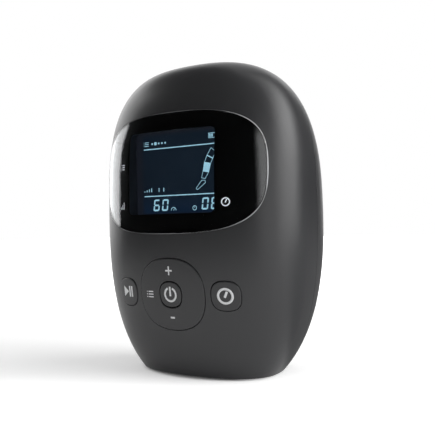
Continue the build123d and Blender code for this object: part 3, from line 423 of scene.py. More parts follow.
def draw_digit(bm, figure, centre, height):
    """A slanted seven-bar figure."""
    half, line, wide = height / 2, height * DIGIT_LINE, height * DIGIT_WIDTH
    flat, upright = (wide - line * 1.35, line), (line, half - line * 0.72)
    side, top = wide / 2 - line / 2, half - line / 2
    spots = {
        "a": ((0, top), flat), "g": ((0, 0), flat), "d": ((0, -top), flat),
        "b": ((side, half / 2), upright), "c": ((side, -half / 2), upright),
        "f": ((-side, half / 2), upright), "e": ((-side, -half / 2), upright),
    }
    known = set(bm.verts)
    for name in DIGIT_BARS[figure]:
        draw_bar(bm, *spots[name], chamfer=line * 0.3)
    new = [v for v in bm.verts if v not in known]
    lean = Matrix(((1, math.tan(DIGIT_SLANT), 0), (0, 1, 0), (0, 0, 1)))
    bmesh.ops.transform(bm, matrix=lean.to_4x4(), verts=new)
    bmesh.ops.translate(bm, vec=(*centre, 0), verts=new)


def face_front(bm):
    """Turns the faces of a flat drawing to its front."""
    bmesh.ops.recalc_face_normals(bm, faces=bm.faces)
    for face in bm.faces:
        if face.normal.z < 0:
            face.normal_flip()


def stand_up(bm, depth=0.0):
    """Turns a flat drawing upright at that depth, facing the front."""
    place = Matrix.Translation((0, depth, 0)) @ Matrix.Rotation(math.pi / 2, 4, "X")
    bmesh.ops.transform(bm, matrix=place, verts=bm.verts)


def refine(bm, longest):
    """Splits edges until none is longer, so that the drawing can follow a curved surface."""
    most_rounds = 9
    for _ in range(most_rounds):
        bmesh.ops.triangulate(bm, faces=bm.faces[:])
        edges = [edge for edge in bm.edges if edge.calc_length() > longest]
        if not edges:
            break
        bmesh.ops.subdivide_edges(bm, edges=edges, cuts=1)


def surface_of(node):
    """A CAD node's surface, for casting on."""
    bm = bmesh.new()
    bm.from_mesh(frame["nodes"][node].data)
    tree = BVHTree.FromBMesh(bm)
    bm.free()
    return tree


def meet(surface, across, up, side):
    """The first point of the surface on the way from outside, from the front (-1) or behind (1)."""
    start = Vector((across, side * CAST_FROM, up))
    return surface.ray_cast(start, Vector((0, -side, 0)))[:2]


def lay_on(bm, surface, gap, side=-1, square=True):
    """Moves each point along Y to the surface, then off it: square to it, or along Y."""
    for vert in bm.verts:
        spot, normal = meet(surface, vert.co.x, vert.co.z, side)
        if spot is None:
            raise RuntimeError(f"a sign misses its surface at {vert.co.x:.4f}, {vert.co.z:.4f}")
        vert.co = spot + (normal if square else Vector((0, side, 0))) * gap


def add_object(name, data):
    """Puts a new object into the scene."""
    made = bpy.data.objects.new(name, data)
    bpy.context.scene.collection.objects.link(made)
    return made


def add_mesh(name, bm, material):
    """Makes an object of a bmesh."""
    mesh = bpy.data.meshes.new(name)
    bm.to_mesh(mesh)
    bm.free()
    mesh.materials.append(material)
    return add_object(name, mesh)


def add_piece(name, bm, material, body, thickness=0.0, smooth=True):
    """Makes the piece of a bmesh: rides the body and takes its finish from the slot."""
    for face in bm.faces:
        face.smooth = smooth
    piece = add_mesh(name, bm, material)
    if thickness:
        wall = piece.modifiers.new("Ink", "SOLIDIFY")
        wall.thickness = thickness
        wall.offset = -1
    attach(piece, body)


# ---- materials that one piece needs


def ink(name, tone, **shader):
    """Printed ink: nearly even, with faint pinholes."""
    return moulded(
        name, tone, rough=0.45, grain=0.09, depth=0.0015, clouds=0.05, rubbed=0.02, **shader
    )


def off_middle(tree, axis, first, last):
    """How far the point is from halfway between the two along that axis."""
    return maths(tree, "ABSOLUTE", maths(tree, "SUBTRACT", axis, (first + last) / 2))


def clear_window(settings):
    """Clear plastic with faint finger marks in its polish, and a frosted grey cut edge that is a
    painted highlight in place of the bevel's reflection.
    """
    squareness = 3.2  # of the window's outline: 2 is an ellipse, more is squarer
    material, tree = new_material("Clear window")
    place, axes = object_place(tree)
    marks = noise(tree, place, 55.0, Detail=5.0, Distortion=1.2)
    polish = stepped(tree, marks, 0.45, 0.8, 0.004, 0.02)
    tint = blend(tree, marks, settings.tint, [part * 0.98 for part in settings.tint])
    low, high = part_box("window_lens")
    parts = []
    for axis, first, last in (("X", low[0], high[0]), ("Z", low[2], high[2])):
        share = maths(tree, "DIVIDE", off_middle(tree, axes[axis], first, last), (last - first) / 2)
        parts.append(maths(tree, "POWER", share, squareness))
    # The rim is the window's cut edge, made frosted light grey: a painted highlight standing in for
    # the bevel's reflection.
    rim = stepped(tree, plus(tree, *parts), 0.972, 0.980)
    finish_surface(tree, {
        "Base Color": blend(tree, rim, tint, settings.rim_colour),
        "Roughness": plus(tree, polish, times(tree, rim, 0.25)),
        "Transmission Weight": maths(tree, "SUBTRACT", 1.0, rim),
        "IOR": 1.49,
    })
    return material


def lit_page(settings, middle):
    """The panel's glass: a lit page with soft edges in a dark border, whose dim glow is painted
    light from the page falling on it.
    """
    half_wide, half_tall = settings.page_width / 2, settings.page_height / 2
    inward, outward = 1.2 * MM, 0.6 * MM  # how far the page's edge fades either way
    material, tree = new_material("Lit page")
    place, axes = object_place(tree)
    edges = []
    for axis, centre, half in (("X", middle[0], half_wide), ("Z", middle[1], half_tall)):
        off = off_middle(tree, axes[axis], centre, centre)
        edges.append(stepped(tree, off, half - inward, half + outward, 1.0, 0.0))
    clouds = noise(tree, place, 30.0, Detail=2.0)
    low = stepped(tree, axes["Z"], middle[1] - half_tall, middle[1] - half_tall / 3, 1.0, 0.0)
    foot = [part * share for part, share in zip(settings.page_colour, (0.95, 1.3, 1.75))]
    page = blend(tree, low, settings.page_colour, foot)
    # Outside the page the panel glows dimly: painted light, standing in for the page's light that
    # falls on its edge and the gasket.
    glow = blend(tree, times(tree, *edges), settings.border_colour, page)
    finish_surface(tree, {
        "Base Color": (0.004, 0.005, 0.008, 1),
        "Roughness": stepped(tree, clouds, 0.3, 0.7, 0.3, 0.4),
        "Emission Color": scaled(tree, glow, stepped(tree, clouds, 0.3, 0.7, 0.9, 1.1)),
        "Emission Strength": 1.0,
    })
    return material


def lit_lines(settings):
    """The page's lit lines: slightly brighter and duller from spot to spot."""
    material, tree = new_material("Lit lines")
    dots = noise(tree, object_place(tree)[0], 400.0, Detail=1.0)
    dim = [part * 0.86 for part in settings.lit_colour]
    finish_surface(tree, {
        "Base Color": (0.01, 0.01, 0.012, 1),
        "Roughness": 0.4,
        "Emission Color": blend(tree, stepped(tree, dots, 0.3, 0.7), dim, settings.lit_colour),
        "Emission Strength": 1.0,
    })
    return material


def board_laminate():
    """Solder mask over copper tracks, with bare pads here and there."""
    material, tree = new_material("Board laminate")
    place, _ = object_place(tree)
    upright = add(tree, "Mapping", {"Vector": place, "Rotation": (math.pi / 2, 0, 0)})
    tracks = add(tree, "TexBrick", {
        "Vector": upright.outputs[0], "Scale": 260.0, "Mortar Size": 0.16, "Mortar Smooth": 0.1,
        "Brick Width": 1.7, "Row Height": 0.45,
    }).outputs["Fac"]
    pads = add(tree, "TexVoronoi", {"Vector": place, "Scale": 190.0}, feature="F1")
    pad = stepped(tree, pads.outputs["Distance"], 0.10, 0.13, 1.0, 0.0)
    weave = noise(tree, place, 1500.0, Detail=2.0)
    mask = blend(tree, tracks, (0.010, 0.085, 0.040), (0.022, 0.150, 0.070))
    finish_surface(tree, {
        "Base Color": blend(tree, pad, mask, (0.75, 0.74, 0.70)),
        "Roughness": stepped(tree, weave, 0.3, 0.7, 0.28, 0.42),
        "Metallic": pad,
        "Normal": bumped(tree, plus(tree, tracks, times(tree, weave, 0.2)), 0.02 * MM),
    })
    return material


def cell_sleeve():
    """Blue shrink sleeve: drawn tight, creased at its ends."""
    creased = 3 * MM  # length of the creases at each end
    material, tree = new_material("Cell sleeve")
    place, axes = object_place(tree)
    creases = add(tree, "TexWave", {
        "Vector": place, "Scale": 120.0, "Distortion": 9.0, "Detail": 2.0,
    }).outputs["Fac"]
    low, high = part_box("battery_cells")
    ends = plus(
        tree,
        stepped(tree, axes["Z"], low[2], low[2] + creased, 1.0, 0.0),
        stepped(tree, axes["Z"], high[2] - creased, high[2], 0.0, 1.0),
    )
    clouds = noise(tree, place, 90.0, Detail=3.0)
    finish_surface(tree, {
        "Base Color": blend(tree, clouds, (0.010, 0.075, 0.230), (0.014, 0.100, 0.290)),
        "Roughness": stepped(tree, clouds, 0.3, 0.7, 0.22, 0.34),
        "Normal": bumped(tree, times(tree, creases, ends), 0.06 * MM),
    })
    return material


def knurled_brass():
    """Turned brass with crossed knurling round the insert's wall."""
    material, tree = new_material("Knurled brass")
    look = grouped(tree, worked_metal(), {
        "Color": (0.62, 0.40, 0.14, 1), "Line Scale": (60, 900, 60), "Roughness": 0.28,
        "Stains": 0.1,
    })
    place, _ = object_place(tree)
    crossed = []
    for side in (1, -1):
        turn = (0, side * math.pi / 4, math.pi / 5)
        spun = add(tree, "Mapping", {"Vector": place, "Rotation": turn}).outputs[0]
        waves = add(tree, "TexWave", {"Vector": spun, "Scale": 420.0})
        crossed.append(waves.outputs["Fac"])
    finish_surface(tree, {
        "Base Color": look["Color"],
        "Roughness": look["Roughness"],
        "Metallic": 1.0,
        "Normal": bumped(tree, maths(tree, "MAXIMUM", *crossed), 0.05 * MM),
    })
    return material


# ---- signs and other flat pieces; a piece is named like the function that draws it


def power_sign(bm):
    """A ring open at the top, with a bar in the gap."""
    up, radius, line, bar, bar_off = mm(45.15, 3.45, 1.1, 5.0, 1.65)
    half_gap = math.radians(22)
    draw_ring(bm, (0, up), radius, line, math.pi / 2 + half_gap, math.tau - 2 * half_gap)
    draw_bar(bm, (0, up + bar_off), (line, bar), chamfer=0.12 * MM)


def play_sign(bm):
    """An arrowhead with two bars after it."""
    up, half_tall, bar, back, tip, *bars = mm(45.5, 2.95, 1.15, -34.8, -30.7, -29.7, -27.9)
    draw_shape(bm, [(back, up - half_tall), (tip, up), (back, up + half_tall)])
    for across in bars:
        draw_bar(bm, (across, up), (bar, 2 * half_tall), chamfer=0.1 * MM)


def timer_sign(bm):
    """A dial."""
    draw_dial(bm, mm(31.2, 45.2), radius=3.6 * MM, line=1.2 * MM)


def pad_signs(bm):
    """A plus above, a minus below and a list at the left."""
    line, wide, tall, plus_up, minus_up = mm(0.85, 4.2, 4.6, 57.6, 33.0)
    draw_bar(bm, (0, plus_up), (wide, line))
    arm = (tall - line) / 2
    for side in (-1, 1):
        draw_bar(bm, (0, plus_up + side * (line + arm) / 2), (line, arm))
    draw_bar(bm, (0, minus_up), mm(2.7, 0.95))
    draw_list(bm, mm(-13.6, 44.9), mm(4.6, 3.4), line=0.6 * MM)


def in_view(off, half, corner):
    """Whether a point that far from the middle lies in the rounded view."""
    across, up = abs(off.x) - half.x + corner, abs(off.y) - half.y + corner
    return Vector((max(across, 0), max(up, 0))).length <= corner and max(across, up) <= corner


def on_back(point, back):
    """Whether the window's back, not its edge, lies in front of the point."""
    least_facing = 0.3
    spot, normal = meet(back, point.x, point.y, side=1)
    return spot is not None and normal.y > least_facing


def reach(way, test, middle, widest):
    """The furthest point that way, from the middle, that still passes the test."""
    near, far, halvings = 0.0, widest, 30
    for _ in range(halvings):
        half_way = (near + far) / 2
        if test(middle + way * half_way):
            near = half_way
        else:
            far = half_way
    return way * near


def window_signs(bm, window):
    """A dial at the right of the view, a list and a strength sign at its left."""
    longest_edge = 0.8 * MM
    draw_dial(bm, mm(32.6, 92.2), 1.95 * MM, window.line)
    draw_list(bm, mm(-33.1, 113.3), mm(2.7, 2.8), line=0.42 * MM)
    draw_steps(bm, -35.0 * MM, 90.2 * MM, mm(2.9, 3.8), line=0.45 * MM)
    refine(bm, longest_edge)
    stand_up(bm)


def window_mask(bm, window, back):
    """A sheet between the clear view and the window's outline, upright."""
    points_round, cuts_across = 176, 14
    low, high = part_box("window_lens")
    view_low, view_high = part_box("display_gasket")
    middle = Vector(((view_low[0] + view_high[0]) / 2, (view_low[2] + view_high[2]) / 2))
    half = Vector((window.view_width / 2, window.view_height / 2))
    for radius, test in (
        (1.0, lambda point: in_view(point - middle, half, window.view_corner)),
        (2.0, lambda point: on_back(point, back)),
    ):
        made = bmesh.ops.create_circle(bm, segments=points_round, radius=radius)
        for vert in made["verts"]:
            off = reach(vert.co.xy.normalized(), test, middle, high[0] - low[0])
            vert.co = (*(middle + off), 0)
    edges = bm.edges[:]
    bmesh.ops.bridge_loops(bm, edges=edges)
    known = set(edges)
    across = [edge for edge in bm.edges if edge not in known]
    bmesh.ops.subdivide_edges(bm, edges=across, cuts=cuts_across, use_grid_fill=True)
    face_front(bm)
    stand_up(bm)


def page_rules(bm, display):
    """The two long rules."""
    for up in mm(122.74, 97.09):
        draw_bar(bm, (0, up), (47.0 * MM, display.line))


def page_battery(bm, display):
    """A cell with two bars in it."""
    left, right, up, tall, line = mm(18.9, 23.5, 127.0, 2.7, 0.3)
    low, high = up - tall / 2, up + tall / 2
    draw_shape(bm, [(left, low), (right, low), (right, high), (left, high)], line=line)
    draw_bar(bm, (right + 0.25 * MM, up), (0.5 * MM, tall * 0.4))
    for off in mm(1.05, 2.3):
        draw_bar(bm, (left + off, up), (0.8 * MM, tall - 3.4 * line))


def page_leg(bm, display):
    """A leg in a sleeve of four chambers, the third filled, and a foot; corners in millimetres."""
    line, filled = 0.28 * MM, 2
    front = [(20.4, 120.8), (17.7, 117.0), (16.0, 113.3), (15.1, 109.0), (14.1, 105.3)]
    calf = [(23.4, 118.6), (21.5, 115.1), (20.1, 112.5), (18.9, 108.3), (16.5, 104.8)]
    shapes = [
        [front[number], front[number + 1], calf[number + 1], calf[number]]
        for number in range(len(front) - 1)
    ]
    shapes.append([
        (14.3, 104.3), (10.6, 100.3), (11.2, 99.4), (12.2, 99.6), (16.7, 102.8), (16.5, 104.2),
    ])
    for number, shape in enumerate(shapes):
        corners = [mm(*corner) for corner in shape]
        draw_shape(bm, corners, line=0.0 if number == filled else line)


def page_figures(bm, display):
    """The two numbers."""
    for figure, across in (("6", -15.17), ("0", -9.47), ("0", 16.24), ("6", 21.94)):
        draw_digit(bm, figure, mm(across, 92.06), display.digit_height)


def page_signs(bm, display):
    """List, page dots, strength steps, two level bars, pressure dial and clock."""
    line, dots_up, chosen = 0.34 * MM, 125.6 * MM, 1
    draw_list(bm, (-21.7 * MM, dots_up), mm(3.4, 2.3), line)
    for number in range(5):
        across, size = mm(-17.6 + 2.2 * number, 1.7 if number == chosen else 1.0)
        draw_bar(bm, (across, dots_up), (size, size), chamfer=size * 0.25)
    draw_steps(bm, -23.5 * MM, 99.4 * MM, mm(5.2, 2.1), line=0.55 * MM, count=4)
    for across in mm(-13.5, -10.3):
        draw_bar(bm, (across, 100.4 * MM), mm(0.5, 2.0))
    draw_ring(bm, mm(-4.0, 89.0), 1.6 * MM, line, sweep=math.pi, steps=16)
    draw_bar(bm, mm(-3.7, 89.5), (line, 1.2 * MM), turn=-0.6)
    draw_ring(bm, mm(9.6, 90.0), 1.15 * MM, line, steps=20)
    draw_bar(bm, mm(9.6, 90.35), (line * 0.8, 0.8 * MM))


def typed_figure(text, size):
    """A flat figure, middled on its foot."""
    curve = bpy.data.curves.new("port_figure", "FONT")
    curve.body, curve.size, curve.align_x = text, size, "CENTER"
    words = bpy.data.objects.new("port_figure", curve)
    mesh = bpy.data.meshes.new_from_object(words)
    bm = bmesh.new()
    bm.from_mesh(mesh)
    bmesh.ops.remove_doubles(bm, verts=bm.verts, dist=0.001 * MM)
    bpy.data.objects.remove(words)
    bpy.data.curves.remove(curve)
    bpy.data.meshes.remove(mesh)
    return bm


# ---- studio


def rays(tree):
    """Masks of the rays from the camera, from gloss or clear plastic, and from matt surfaces."""
    path = add(tree, "LightPath").outputs
    mirrored = maths(tree, "MAXIMUM", path["Is Glossy Ray"], path["Is Transmission Ray"])
    return path["Is Camera Ray"], mirrored, path["Is Diffuse Ray"]


def azimuth(tree, axes):
    """Degrees round the object: 0 at the front, 90 at the right, -90 at the left."""
    turn = maths(tree, "ARCTAN2", axes["X"], times(tree, axes["Y"], -1.0))
    return maths(tree, "DEGREES", turn)


def towards(tree, axes, axis):
    """How far a way on the floor points to the right (X) or behind (Y): -1 to 1."""
    squares = [times(tree, axes[name], axes[name]) for name in ("X", "Y")]
    return maths(tree, "DIVIDE", axes[axis], maths(tree, "SQRT", plus(tree, *squares)))


def front_sector(tree, axes):
    """1 in the dark front of the studio, 0 at the white walls."""
    turn = azimuth(tree, axes)
    return times(tree, stepped(tree, turn, -86, -83), stepped(tree, turn, 28, 60, 1.0, 0.0))


def back_sector(tree, axes):
    """1 behind the object and to its right, where the floor is painted darker in gloss: painted
    shade in its reflections.
    """
    behind = stepped(tree, towards(tree, axes, "Y"), -0.09, 0.42)
    return times(tree, behind, stepped(tree, towards(tree, axes, "X"), -0.8, 0.2))


def foot_size():
    """Half the size of the housing's foot on the floor."""
    foot_height = 1.5 * MM
    shells = [frame["nodes"][name].data.vertices for name in ("front_shell", "rear_shell")]
    low = [v.co for points in shells for v in points if v.co.z < foot_height]
    return (max(abs(p.x) for p in low), max(abs(p.y) for p in low), 1.0)


def floor_material(studio):
    """Pale floor: white where the camera sees it, dark in front where gloss shows it; with a
    painted contact shadow, painted light on the camera's side and painted shade in its reflections.
    """
    pale, dark_tone, gloss_shade_share = 0.8, 0.008, 0.3
    camera_side, painted_front_glow, contact_shadow_glow = (0.54, -0.84, 0), 0.2, 0.15
    material, tree = new_material("Studio floor")
    seen, mirrored, _ = rays(tree)
    place, axes = object_place(tree)
    away = add(tree, "VectorMath", {0: place}, operation="LENGTH").outputs["Value"]
    dark = times(tree, stepped(tree, away, 0.45, 0.65), front_sector(tree, axes))
    # Painted shade in reflections: behind and to the right, gloss sees the floor darker and without
    # its added light.
    lit = maths(tree, "SUBTRACT", 1.0, times(tree, mirrored, back_sector(tree, axes)))
    tone = stepped(tree, dark, 0.0, 1.0, pale, dark_tone)
    tone = times(tree, tone, stepped(tree, lit, 0.0, 1.0, gloss_shade_share, 1.0))

    # 1 on the ellipse round the foot, and more outside it
    near = add(tree, "VectorMath", {0: place, 1: foot_size()}, operation="DIVIDE").outputs[0]
    near = add(tree, "VectorMath", {0: near}, operation="LENGTH").outputs["Value"]
    # Painted light: the floor on the camera's side of the object glows more, which narrows the
    # object's shadow there.
    facing = add(tree, "VectorMath", {0: place, 1: camera_side}, operation="DOT_PRODUCT")
    glow = stepped(tree, away, 0.25, 0.5, studio.floor_glow, 1.0)
    glow = plus(
        tree, maths(tree, "MAXIMUM", glow, dark),
        stepped(tree, facing.outputs["Value"], 0.0, 0.06, 0.0, painted_front_glow),
    )
    # Painted contact shadow: close round the foot, except at the right, the floor's glow drops to a
    # dark shade where the camera sees it.
    painted_contact_shadow = maths(
        tree, "MAXIMUM", stepped(tree, near, 1.0, 1.16, contact_shadow_glow, 1.0),
        stepped(tree, towards(tree, axes, "X"), 0.64, 0.98),
    )
    glow = times(tree, glow, painted_contact_shadow, seen)
    # Painted shade in reflections: the light that gloss sees on the floor drops near the foot and
    # behind at the right.
    gloss = stepped(tree, dark, 0.0, 1.0, studio.floor_gloss, 0.0)
    gloss = times(tree, mirrored, gloss, lit, stepped(tree, near, 1.0, 1.5, 0.3, 1.0))
    finish_surface(tree, {
        "Base Color": tone,
        "Roughness": stepped(tree, noise(tree, place, 3.0), 0.3, 0.7, 0.7, 0.8),
        "Specular IOR Level": 0.0,
        "Emission Color": (1, 1, 1, 1),
        "Emission Strength": plus(tree, glow, gloss),
    })
    material.cycles.emission_sampling = "NONE"
    return material


def add_floor(studio):
    """The studio's floor."""
    bm = bmesh.new()
    bmesh.ops.create_grid(bm, x_segments=8, y_segments=8, size=studio.floor_size / 2)
    floor = add_mesh("studio_floor", bm, floor_material(studio))


def left_wall(tree, turn, up, studio):
    """White to the left, with a sharp front edge that leans higher up."""
    edge_lean, upright_below = 24.0, 0.25
    wall = stepped(tree, turn, -145, -115, 0.6, studio.left_light)
    grazed = stepped(tree, turn, -112, -96, 0.72, 1.0)
    wall = times(tree, wall, maths(tree, "MAXIMUM", grazed, stepped(tree, up, 0.16, 0.30)))
    lean = times(tree, maths(tree, "MAXIMUM", up, upright_below), edge_lean)
    edge = maths(tree, "SUBTRACT", turn, lean)
    wall = times(tree, wall, stepped(tree, edge, -87.5, -85.5, 1.0, 0.0))
    return times(tree, wall, stepped(tree, up, 0.58, 0.70, 1.0, 0.0))


def right_wall(tree, turn, up, studio):
    """White to the right, with soft edges that lean; dimmer at its foot and its top."""
    edge_lean = 36.0
    lean = maths(tree, "SUBTRACT", turn, times(tree, up, edge_lean))
    return times(
        tree, stepped(tree, lean, 55, 90), stepped(tree, lean, 113, 129, 1.0, 0.0),
        stepped(tree, up, 0.0, 0.35, 0.75, 1.0),
        stepped(tree, up, 0.45, 0.95, studio.right_light, 1.2),
    )


def light_strip(tree, turn, up, studio):
    """A low narrow light in front of the right wall."""
    return times(
        tree, stepped(tree, turn, 36, 49), stepped(tree, turn, 57, 64, 1.0, 0.0),
        stepped(tree, up, 0.35, 0.5, studio.strip_light, 0.0),
    )


def surroundings(studio):
    """White where it is seen; otherwise white walls left, right and behind, a dark front."""
    behind_light = 0.7
    world = bpy.data.worlds.new("Studio")
    world.use_nodes = True
    tree = world.node_tree
    tree.nodes.clear()
    _, axes = object_place(tree, "Generated")
    turn, up = azimuth(tree, axes), axes["Z"]
    seen, mirrored, spread = rays(tree)
    light = plus(
        tree,
        stepped(tree, up, 0.4, 0.85, studio.front_light, studio.top_light),
        left_wall(tree, turn, up, studio),
        right_wall(tree, turn, up, studio),
        light_strip(tree, turn, up, studio),
        times(tree, stepped(tree, turn, -140, -125, behind_light, 0.0), mirrored),
        times(tree, spread, studio.fill_light),
    )
    light = plus(tree, times(tree, light, maths(tree, "SUBTRACT", 1.0, seen)), seen)
    background = add(tree, "Background", {"Color": (1, 1, 1, 1), "Strength": light})
    add(tree, "OutputWorld", {"Surface": background.outputs[0]})
    return world


def add_lamp(studio):
    """A large soft lamp high at the right, a little behind."""
    turn, elevation, distance = math.radians(95), math.radians(35), 1.3
    lamp = bpy.data.lights.new("key_lamp", "AREA")
    lamp.shape = "RECTANGLE"
    lamp.size, lamp.size_y = 0.7, 0.5
    lamp.energy = studio.key_lamp
    box = add_object("key_lamp", lamp)
    high = Vector((0, -math.cos(elevation), math.sin(elevation))) * distance
    box.location = Matrix.Rotation(turn, 3, "Z") @ high
    box.rotation_euler = (math.pi / 2 - elevation, 0, turn)
    box.visible_glossy = False


def add_camera(studio):
    """The camera to the right of the front, nearly level and a little rolled."""
    turn, tilt, roll = (math.radians(angle) for angle in (32.5, 90.8, -1.07))
    lens = bpy.data.cameras.new("Camera")
    lens.lens = studio.focal
    lens.sensor_width = 36
    lens.clip_start = 0.01
    camera = add_object("Camera", lens)
    aim = Matrix.Rotation(turn, 4, "Z") @ Matrix.Rotation(tilt, 4, "X")
    camera.location = (0.2046, -0.31757, 0.07988)
    camera.rotation_euler = (aim @ Matrix.Rotation(roll, 4, "Z")).to_euler()
    return camera


# ---- operators


def soft_touch(name, tone, finish, clouds):
    """The soft-touch plastic of the shells and the keys."""
    return moulded(
        name, tone, rough=0.34, grain=finish.grain_size / MM, depth=finish.grain_depth / MM,
        clouds=clouds, rubbed=0.035,
    )


class PUMP_OT_housing(bpy.types.Operator):
    """Soft-touch plastic on both shells, rubber on the feet and black screws"""

    bl_idname = "pump.housing"
    bl_label = "Housing"

    def execute(self, context):
        finish = context.scene.pump_finish
        shell = soft_touch("Soft-touch shell", finish.shell_colour, finish, clouds=0.10)
        wear(shell, "front_shell", "rear_shell")
        rubber = moulded("Foot rubber", (0.012, 0.012, 0.013), rough=0.75, grain=0.5)
        wear(rubber, "rubber_feet")
        wear(metal("Black zinc", (0.055, 0.055, 0.06), rough=0.38), "housing_screws")
        wear(knurled_brass(), "thread_inserts")
        return {"FINISHED"}


class PUMP_OT_keys(bpy.types.Operator):
    """The keys' plastic, the rubber under them and the signs printed on them"""

    bl_idname = "pump.keys"
    bl_label = "Keys"

    def execute(self, context):
        finish = context.scene.pump_finish
        keys = soft_touch("Soft-touch keys", finish.key_colour, finish, clouds=0.08)
        wear(keys, "power_key", "play_key", "timer_key", "dpad_key")
        rubber = moulded(
            "Key rubber", (0.42, 0.43, 0.45), rough=0.55, grain=0.6, Subsurface_Weight=0.25,
            Subsurface_Radius=(0.002,) * 3,
        )
        wear(rubber, "power_plunger", "play_plunger", "timer_plunger")
        wear(rubber, "dpad_rubber", "keypad_sheet")
        print_ink = ink("Key print", finish.print_colour)
        longest_edge = 0.7 * MM
        for draw, node, body in (
            (power_sign, "power_key", "power_button"),
            (play_sign, "play_key", "play_button"),
            (timer_sign, "timer_key", "timer_button"),
            (pad_signs, "dpad_key", "dpad"),
        ):
            bm = bmesh.new()
            draw(bm)
            refine(bm, longest_edge)
            stand_up(bm)
            lay_on(bm, surface_of(node), finish.print_thickness + INK_GAP)
            add_piece(
                draw.__name__, bm, print_ink, body, finish.print_thickness
            )
        return {"FINISHED"}


class PUMP_OT_window(bpy.types.Operator):
    """The clear window, the black mask printed behind it and its white signs"""

    bl_idname = "pump.window"
    bl_label = "Window"

    def execute(self, context):
        window = context.scene.pump_window
        wear(clear_window(window), "window_lens")
        back = surface_of("window_lens")
        bm = bmesh.new()
        window_mask(bm, window, back)
        lay_on(bm, back, window.mask_gap, side=1, square=False)
        black = moulded(
            "Mask ink", window.mask_colour, grain=0.1, depth=0.001, clouds=0.2, rubbed=0.02,
            Specular_IOR_Level=0.1,
        )
        add_piece("window_mask", bm, black, "housing", thickness=0.01 * MM)
        bm = bmesh.new()
        window_signs(bm, window)
        lay_on(bm, back, window.sign_gap, side=1, square=False)
        # The white print also glows a little: painted light, as no lamp lies behind it.
        lit = ink(
            "Window print", window.sign_colour, Emission_Color=(0.9, 0.96, 1, 1),
            Emission_Strength=0.55,
        )
        add_piece("window_signs", bm, lit, "housing")
        return {"FINISHED"}


class PUMP_OT_display(bpy.types.Operator):
    """The lit page, its lines and figures, and what holds the panel"""

    bl_idname = "pump.display"
    bl_label = "Display"

    def execute(self, context):
        display = context.scene.pump_display
        low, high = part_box("display_panel")
        middle = ((low[0] + high[0]) / 2, (low[2] + high[2]) / 2)
        wear(lit_page(display, middle), "display_panel")
        guide = moulded(
            "Light guide", (0.8, 0.84, 0.88), rough=0.3, Emission_Color=(0.7, 0.85, 1, 1),
            Emission_Strength=0.2,
        )
        wear(guide, "display_backlight")
        wear(moulded("Holder plastic", (0.6, 0.6, 0.58)), "display_holder")
        foam = moulded("Gasket foam", (0.045, 0.060, 0.080), rough=0.9, grain=0.5, depth=0.05)
        wear(foam, "display_gasket")
        lines = lit_lines(display)
        for draw in (page_rules, page_battery, page_leg, page_figures, page_signs):
            bm = bmesh.new()
            draw(bm, display)
            face_front(bm)
            stand_up(bm, low[1] - display.lift)
            add_piece(
                draw.__name__, bm, lines, "housing", 0.01 * MM, smooth=False
            )
        return {"FINISHED"}


class PUMP_OT_air_parts(bpy.types.Operator):
    """Finishes of the pump, the valves, the manifold and the tubes"""

    bl_idname = "pump.air_parts"
    bl_label = "Pump and air parts"

    def execute(self, context):
        can = metal("Drawn can", (0.52, 0.52, 0.53), lines=(60, 60, 900))
        wear(can, "pump_motor", "valve_bodies")
        steel = metal("Turned steel", (0.58, 0.58, 0.59), rough=0.22, lines=(60, 60, 1400))
        wear(steel, "pump_rotor", *(f"valve_plunger_{number}" for number in range(1, 5)))
        zinc = metal("Zinc plate", (0.56, 0.57, 0.60), rough=0.34, lines=(200,) * 3, stains=0.2)
        wear(zinc, "pump_bracket")
        screws = metal("Zinc screws", (0.62, 0.63, 0.65), rough=0.26, lines=(500,) * 3)
        wear(screws, "pump_screws", "bracket_screws", "board_screws", "power_screws")
        filled = moulded(
            "Filled nylon", (0.045, 0.048, 0.052), rough=0.55, grain=0.7, depth=0.02, clouds=0.4
        )
        wear(filled, "crank_housing", "pump_head")
        natural = moulded(
            "Natural nylon", (0.72, 0.69, 0.60), rough=0.4, Subsurface_Weight=0.15,
            Subsurface_Radius=(0.002, 0.0015, 0.001),
        )
        wear(natural, "wobble_plate")
        rubber = moulded("Diaphragm rubber", (0.014, 0.014, 0.015), rough=0.7, grain=0.4)
        wear(rubber, "pump_diaphragm", "pump_dampers")
        grey = moulded("Manifold plastic", (0.47, 0.49, 0.53), rough=0.42, grain=0.5, depth=0.01)
        wear(grey, "manifold")
        silicone = moulded(
            "Silicone tube", (0.66, 0.67, 0.66), rough=0.35, grain=0.8, depth=0.006,
            Subsurface_Weight=0.4, Subsurface_Radius=(0.003,) * 3,
        )
        wear(silicone, "supply_tube", "outlet_tubes")
        return {"FINISHED"}


class PUMP_OT_electrics(bpy.types.Operator):
    """Finishes of the boards, the cells, the sockets and the small electric parts"""

    bl_idname = "pump.electrics"
    bl_label = "Electric parts"

    def execute(self, context):
        wear(board_laminate(), "main_board", "power_board", "battery_board")
        wear(cell_sleeve(), "battery_cells")
        wear(moulded("Tray plastic", (0.62, 0.61, 0.57)), "battery_tray")
        black = moulded("Moulded black", (0.010, 0.010, 0.011), rough=0.36, grain=0.6, depth=0.006)
        wear(black, "hose_socket", "charge_jack", "buzzer", "pressure_sensor")
        nickel = metal(
            "Nickel plate", (0.68, 0.66, 0.62), rough=0.16, lines=(900, 60, 900), stains=0.08
        )
        wear(nickel, "charge_pin")
        return {"FINISHED"}


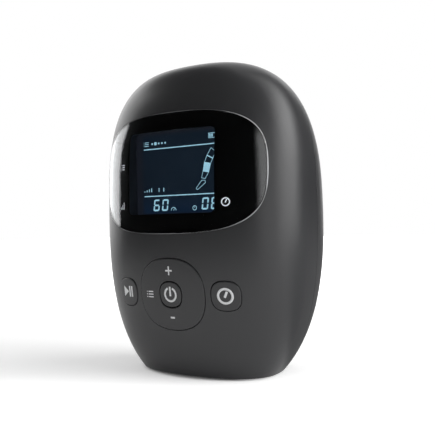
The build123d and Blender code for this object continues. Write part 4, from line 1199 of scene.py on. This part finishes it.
class PUMP_OT_port_numbers(bpy.types.Operator):
    """Plain numbers printed over the hose ports"""

    bl_idname = "pump.port_numbers"
    bl_label = "Port numbers"

    def execute(self, context):
        finish = context.scene.pump_finish
        pale = ink("Rear print", finish.print_colour)
        surface = surface_of("rear_shell")
        figure_size, above_port, longest_edge = 4.2 * MM, 9.6 * MM, 0.8 * MM
        ports = [m for m in frame["record"]["mounts"] if m["name"].startswith("hose_port_")]
        for number, port in enumerate(ports, 1):
            bm = typed_figure(str(number), figure_size)
            refine(bm, longest_edge)
            across, _, up = port["pos_m"]
            stand_up(bm)
            place = Matrix.Translation((across, 0, up + above_port))
            place = place @ Matrix.Rotation(math.pi, 4, "Z")
            bmesh.ops.transform(bm, matrix=place, verts=bm.verts)
            lay_on(bm, surface, finish.print_thickness + INK_GAP, side=1)
            add_piece(
                f"port_number_{number}", bm, pale, "housing",
                finish.print_thickness,
            )
        return {"FINISHED"}


class PUMP_OT_studio(bpy.types.Operator):
    """White floor, soft lamps, pale surroundings and the camera"""

    bl_idname = "pump.studio"
    bl_label = "Studio"

    def execute(self, context):
        studio = context.scene.pump_studio
        add_floor(studio)
        context.scene.world = surroundings(studio)
        add_lamp(studio)
        context.scene.camera = add_camera(studio)
        context.scene.view_settings.view_transform = "Standard"
        return {"FINISHED"}


# ---- panel and registration


OPERATORS = (
    PUMP_OT_housing, PUMP_OT_keys, PUMP_OT_window, PUMP_OT_display,
    PUMP_OT_air_parts, PUMP_OT_electrics, PUMP_OT_port_numbers, PUMP_OT_studio,
)
SETTINGS = {
    "pump_finish": PumpFinish,
    "pump_window": PumpWindow,
    "pump_display": PumpDisplay,
    "pump_studio": PumpStudio,
}


class PUMP_PT_panel(bpy.types.Panel):
    """The pump's settings and the steps that dress it"""

    bl_idname = "PUMP_PT_panel"
    bl_label = "Compression therapy pump"
    bl_space_type = "VIEW_3D"
    bl_region_type = "UI"
    bl_category = "Pump"

    def draw(self, context):
        for attribute, group in SETTINGS.items():
            box = self.layout.box()
            box.label(text=group.__doc__)
            for name in group.__annotations__:
                box.prop(getattr(context.scene, attribute), name)
        for operator in OPERATORS:
            self.layout.operator(operator.bl_idname)


def register():
    for attribute, group in SETTINGS.items():
        bpy.utils.register_class(group)
        setattr(bpy.types.Scene, attribute, PointerProperty(type=group))
    for kind in (*OPERATORS, PUMP_PT_panel):
        bpy.utils.register_class(kind)


def unregister():
    for kind in (PUMP_PT_panel, *reversed(OPERATORS)):
        bpy.utils.unregister_class(kind)
    for attribute, group in SETTINGS.items():
        delattr(bpy.types.Scene, attribute)
        bpy.utils.unregister_class(group)


def main():
    register()
    for operator in OPERATORS:
        family, step = operator.bl_idname.split(".")
        getattr(getattr(bpy.ops, family), step)()


if __name__ == "__main__":
    main()
